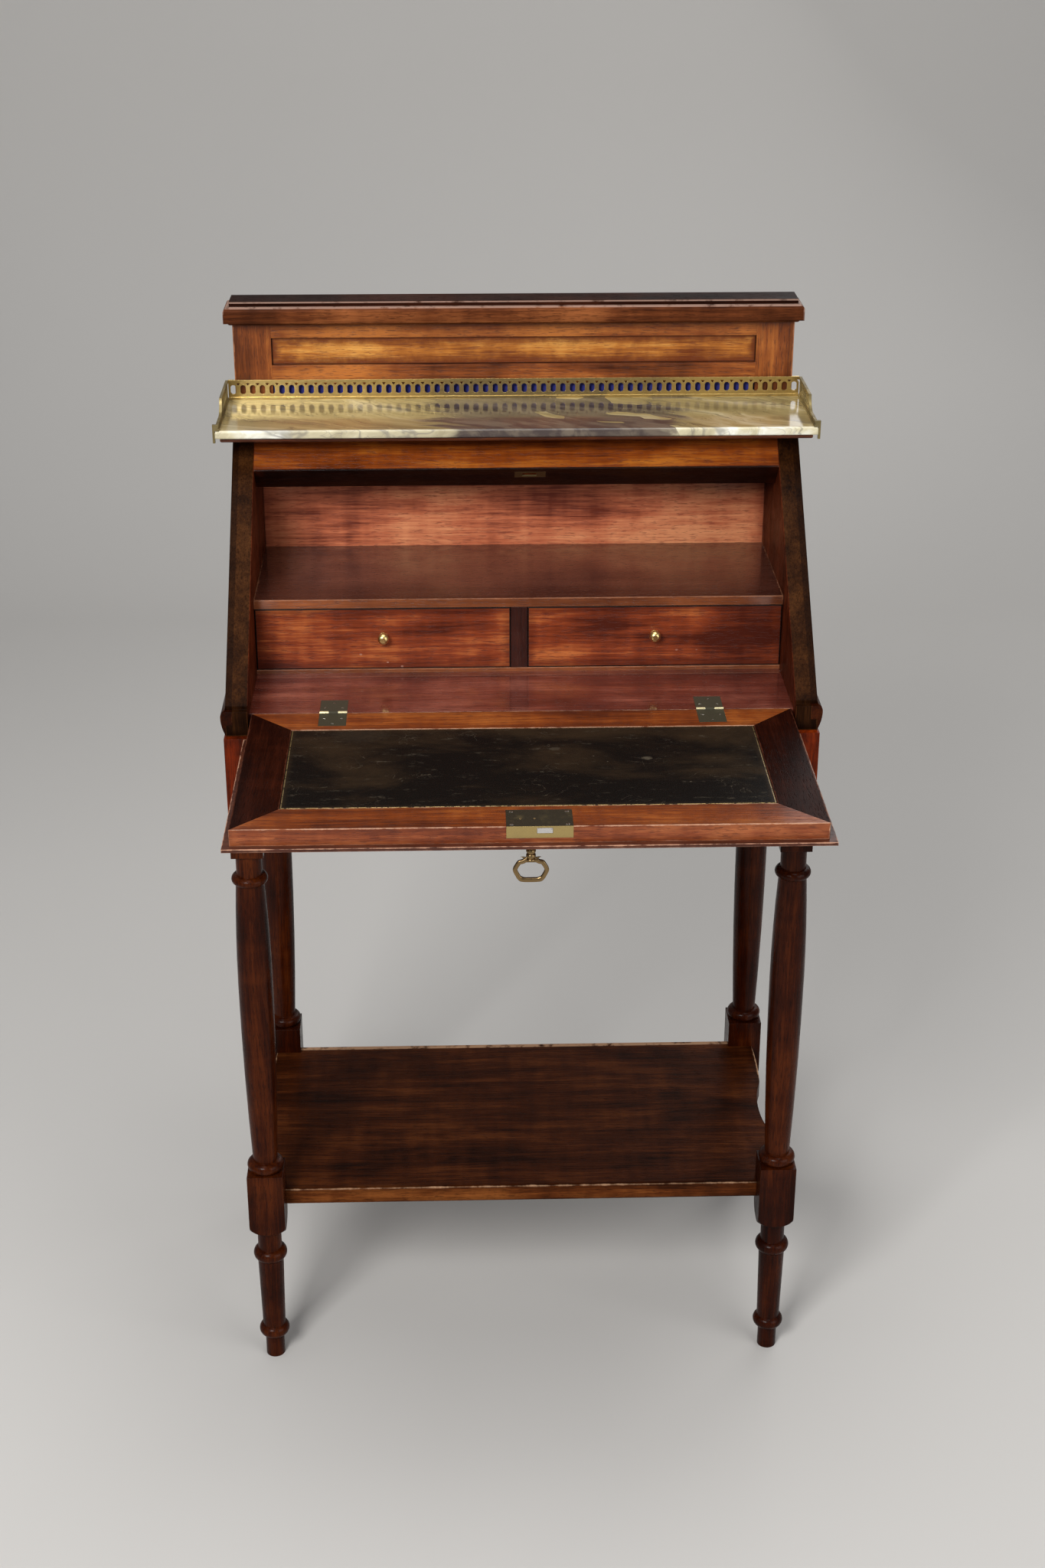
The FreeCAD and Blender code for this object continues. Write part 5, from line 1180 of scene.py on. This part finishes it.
@dataclass
class Screws:
    """Slotted screws in the hinges and the lock, and the lock's two rivets.

    A hinge's screws are placed by shares of its leaf's length, from the pin, and of its width, from
    the middle; those of the lock lie in from its ends and its edges.
    """

    hinge_half: float = 178.0 * MM
    hinge_depth: float = -23.45 * MM
    leaf: float = 31.0 * MM
    width: float = 26.0 * MM
    surface: float = 741.0 * MM
    leaf_places: tuple[tuple[float, float], ...] = ((0.42, -0.32), (0.42, 0.32), (0.80, 0.0))
    lock_in: float = 4.6 * MM
    lock_front: float = 4.0 * MM
    lock_back: float = 3.8 * MM
    rivets_in: tuple[float, float] = (12.5 * MM, 24.5 * MM)
    rivets_front: float = 15.4 * MM
    hinge_screw: Head = Head(1.485 * MM, 0.25 * MM, 0.35 * MM)
    lock_screw: Head = Head(2.0 * MM, 0.18 * MM, 0.02 * MM)
    rivet: Head = Head(1.3 * MM, 0.3 * MM, 0.02 * MM)
    draw_seed: int = 7

    def add(self, skin: Skin, x: float, y: float, head: Head, turn: float) -> None:
        """Add one upright head to a skin."""
        place = np.array((x, y, self.surface - head.sunk))
        skin.add(screw_head(head.radius, head.rise, turn) + place, closed=True)

    def build(self) -> list[Object]:
        """Make the screws of each body as one piece.

        Returns:
            The rivets, the screws in the fixed surface and the screws in the fall.
        """
        steel = Steel("screw_steel", clean=(0.62, 0.60, 0.52), amount=0.1).dress()
        floor, fall, rivets = Skin(), Skin(), Skin()
        rng = np.random.default_rng(self.draw_seed)
        for side in (-1, 1):
            for along, across in self.leaf_places:
                x = side * self.hinge_half + across * self.width
                for skin, way in ((floor, 1), (fall, -1)):
                    y = self.hinge_depth + way * along * self.leaf
                    self.add(skin, x, y, self.hinge_screw, rng.uniform(0, math.pi))
        low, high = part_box("lock")
        for x in (low.x + self.lock_in, high.x - self.lock_in):
            for y in (low.y + self.lock_front, high.y - self.lock_back):
                self.add(fall, x, y, self.lock_screw, rng.uniform(0, math.pi))
        for reach in self.rivets_in:
            self.add(rivets, low.x + reach, low.y + self.rivets_front, self.rivet, 0.0)
        return [rivets.piece("lock_rivets", KEY_BRASS.dress(), "fall", "fitting_brass"),
                floor.piece("hinge_screws_floor", steel, "case", "fitting_steel"),
                fall.piece("hinge_and_lock_screws", steel, "fall", "fitting_steel")]


@dataclass
class KeyOrnament:
    """The cast bow round the key's ring, and the turned beads and cusps over it."""

    middle: tuple[float, float] = (1.0 * MM, -256.45 * MM)
    stem: float = 3.2 * MM
    low: float = 703.0 * MM
    high: float = 716.5 * MM
    beads: int = 3
    bow_middle: float = 691.3 * MM
    bow_width: float = 1.95 * MM
    bow_depth: float = 1.6 * MM
    bow_cuts: tuple[float, ...] = (0.12, 0.25, 0.25)
    bead_rise: float = 1.15 * MM
    roundness: float = 0.6
    outline: tuple[tuple[float, float], ...] = (
        (-14.3, 0.4), (-10.2, 7.4), (-7.0, 8.0), (-4.8, 9.4), (4.8, 9.4), (7.0, 8.0), (10.2, 7.4),
        (14.3, 0.4), (9.2, -9.7), (-9.2, -9.7))

    def bow(self) -> np.ndarray:
        """Carry a rounded section along the bow's angular outline.

        The outline's corners are cut three times, by a share at both ends of every side. The
        section is a superellipse: w sgn(cos a) |cos a|^0.6 in the bow's plane and
        d sgn(sin a) |sin a|^0.6 across it.

        Returns:
            A grid with one row for each point of the outline.
        """
        line = np.array(self.outline) * MM
        for cut in self.bow_cuts:
            ahead = np.roll(line, -1, axis=0) - line
            line = np.stack([line + cut * ahead, line + (1.0 - cut) * ahead], axis=1).reshape(-1, 2)
        heading = np.roll(line, -1, axis=0) - np.roll(line, 1, axis=0)
        heading /= np.linalg.norm(heading, axis=1, keepdims=True)
        angle = circle(20)
        parts = ((self.bow_width, np.cos(angle)), (self.bow_depth, np.sin(angle)))
        wide, deep = (half * np.sign(part) * np.abs(part) ** self.roundness for half, part in parts)
        x = line[:, :1] - heading[:, 1:] * wide
        z = line[:, 1:] + heading[:, :1] * wide + self.bow_middle
        grid = np.stack([x, np.broadcast_to(deep, x.shape), z], axis=-1)
        return np.concatenate([grid, grid[:1]])

    def build(self) -> Object:
        """Cast the bow, turn the beads and bend the cusps.

        The beads' outline is r = stem + rise |sin(pi k t)|^0.6, where t runs up them and k counts
        them; it closes inside the stem. A cusp is a horn along x = 2 + 7 t, z = 703.4 + 0.6 t
        - 1.6 (1 - t) sin(pi t), with the radius 1.2 (1 - t^2.2), all in mm, for t from 0 to 1.

        Returns:
            The ornament.
        """
        rise = np.linspace(0.0, 1.0, 61)
        swell = np.abs(np.sin(math.pi * self.beads * rise)) ** self.roundness
        outer = self.stem - 0.1 * MM + self.bead_rise * swell
        height = self.low + rise * (self.high - self.low)
        inner = self.stem - 0.6 * MM
        outline = [(inner, self.low), *zip(outer, height), (inner, self.high), (inner, self.low)]
        skin = Skin()
        place = np.array([*self.middle, 0.0])
        skin.add(turned(outline, 40) + place, closed=True)
        skin.add(self.bow() + place, closed=True)
        t = np.linspace(0.0, 1.0, 15)
        z = (703.4 + 0.6 * t - 1.6 * np.sin(math.pi * t) * (1.0 - t)) * MM
        width = 1.2 * (1.0 - t ** 2.2) * MM
        width[0] = 0.0
        for side in (-1, 1):
            skin.add(horn(side * (2.0 + 7.0 * t) * MM, z, width) + place, closed=True)
        return skin.piece("key_ornament", KEY_BRASS.dress(), "key", "fitting_steel")


# ---- the studio


@dataclass(frozen=True)
class Lamp:
    """A soft square lamp: where it hangs, the height it aims at, its side and its watts."""

    name: str
    place: Place
    aim: float
    width: float
    power: float

    def hang(self) -> None:
        """Hang the lamp, aimed over the desk's middle."""
        data = bpy.data.lights.new(self.name, "AREA")
        data.shape = "SQUARE"
        data.size = self.width
        data.energy = self.power
        made = stand(self.name, data)
        made.location = self.place
        way = Vector((0.0, 0.0, self.aim)) - Vector(self.place)
        made.rotation_euler = way.to_track_quat("-Z", "Y").to_euler()


LAMPS = (
    Lamp("key_lamp", (-1.1, -2.3, 2.35), 0.75, 1.0, 74.0),
    Lamp("fill_lamp", (1.9, -1.7, 1.3), 0.6, 1.8, 22.0),
    Lamp("top_lamp", (0.0, -0.3, 2.9), 0.8, 1.6, 26.0),
    Lamp("back_lamp", (1.3, 2.3, 1.9), 0.6, 1.6, 12.0),
)


@dataclass
class Studio:
    """Pale sweep, soft lamps and the camera."""

    floor_colour: Colour = (0.62, 0.60, 0.57)
    half_width: float = 4.0
    front: float = -3.4
    back: float = 3.1
    height: float = 4.5
    bend: float = 0.9
    columns: int = 5
    sky: tuple[float, float, float, float] = (0.9, 0.93, 1.0, 1.0)
    sky_strength: float = 0.2
    sensor: float = 36.0
    lens: float = 51.955
    camera_place: Place = (-0.05744, -1.99316, 1.57625)
    camera_turns: Place = (65.18094, -0.04446, -1.66474)

    def sweep(self) -> Object:
        """Make the floor and backdrop as one bent sheet.

        Its section runs level to the bend, round a quarter circle and up.

        Returns:
            The sweep.
        """
        angle = np.linspace(0.0, math.pi / 2, 24)
        start = self.back - self.bend
        y = np.concatenate([[self.front], start + self.bend * np.sin(angle), [self.back]])
        z = np.concatenate([[0.0], self.bend - self.bend * np.cos(angle), [self.height]])
        x = np.linspace(-self.half_width, self.half_width, self.columns)
        points = np.stack(np.broadcast_arrays(x[None, :], y[:, None], z[:, None]), axis=-1)
        faces = grid_faces(len(y), self.columns, False)
        mesh = bpy.data.meshes.new("sweep")
        mesh.from_pydata(points.reshape(-1, 3).tolist(), [], faces.tolist())
        made = stand("sweep", mesh)
        for face in mesh.polygons:
            face.use_smooth = True
        g = Graph("studio_sweep")
        shadow = tuple(part * 0.96 for part in self.floor_colour)
        shade = g.mix(g.noise(g.point, scale=1.3), self.floor_colour, shadow)
        mesh.materials.append(g.finish({"Base Color": shade, "Roughness": 0.85}))
        return made

    def build(self) -> None:
        """Set the sweep, the lamps, the world and the view."""
        self.sweep()
        for lamp in LAMPS:
            lamp.hang()
        world = bpy.data.worlds.new("studio_world")
        world.use_nodes = True
        background = world.node_tree.nodes["Background"]
        background.inputs[0].default_value = self.sky
        background.inputs[1].default_value = self.sky_strength
        bpy.context.scene.world = world
        bpy.context.scene.view_settings.view_transform = "Standard"

    def camera(self) -> None:
        """Stand the camera where the photograph's camera stood, as solved from right angles."""
        data = bpy.data.cameras.new("camera")
        data.sensor_width = self.sensor
        data.lens = self.lens
        made = stand("camera", data)
        made.location = self.camera_place
        made.rotation_euler = Euler([math.radians(turn) for turn in self.camera_turns])
        bpy.context.scene.camera = made


def main() -> None:
    """Dress the frame, add the fine pieces and set the studio."""
    logging.basicConfig(level=logging.INFO, format="%(message)s")
    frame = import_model()
    carried = CarriedOver(frame["nodes"])
    LOG.info("woodwork dressed: %d boards", carried.dress_wood())
    carried.dress_stone_and_metal()
    LOG.info("marble and metal dressed")
    LOG.info("made %s", ScreenCloth().build().name)
    LOG.info("made %s", WritingLeather().build().name)
    for piece in Screws().build():
        LOG.info("made %s", piece.name)
    LOG.info("made %s", KeyOrnament().build().name)
    studio = Studio()
    studio.build()
    studio.camera()
    LOG.info("sizes written")


if __name__ == "__main__":
    main()
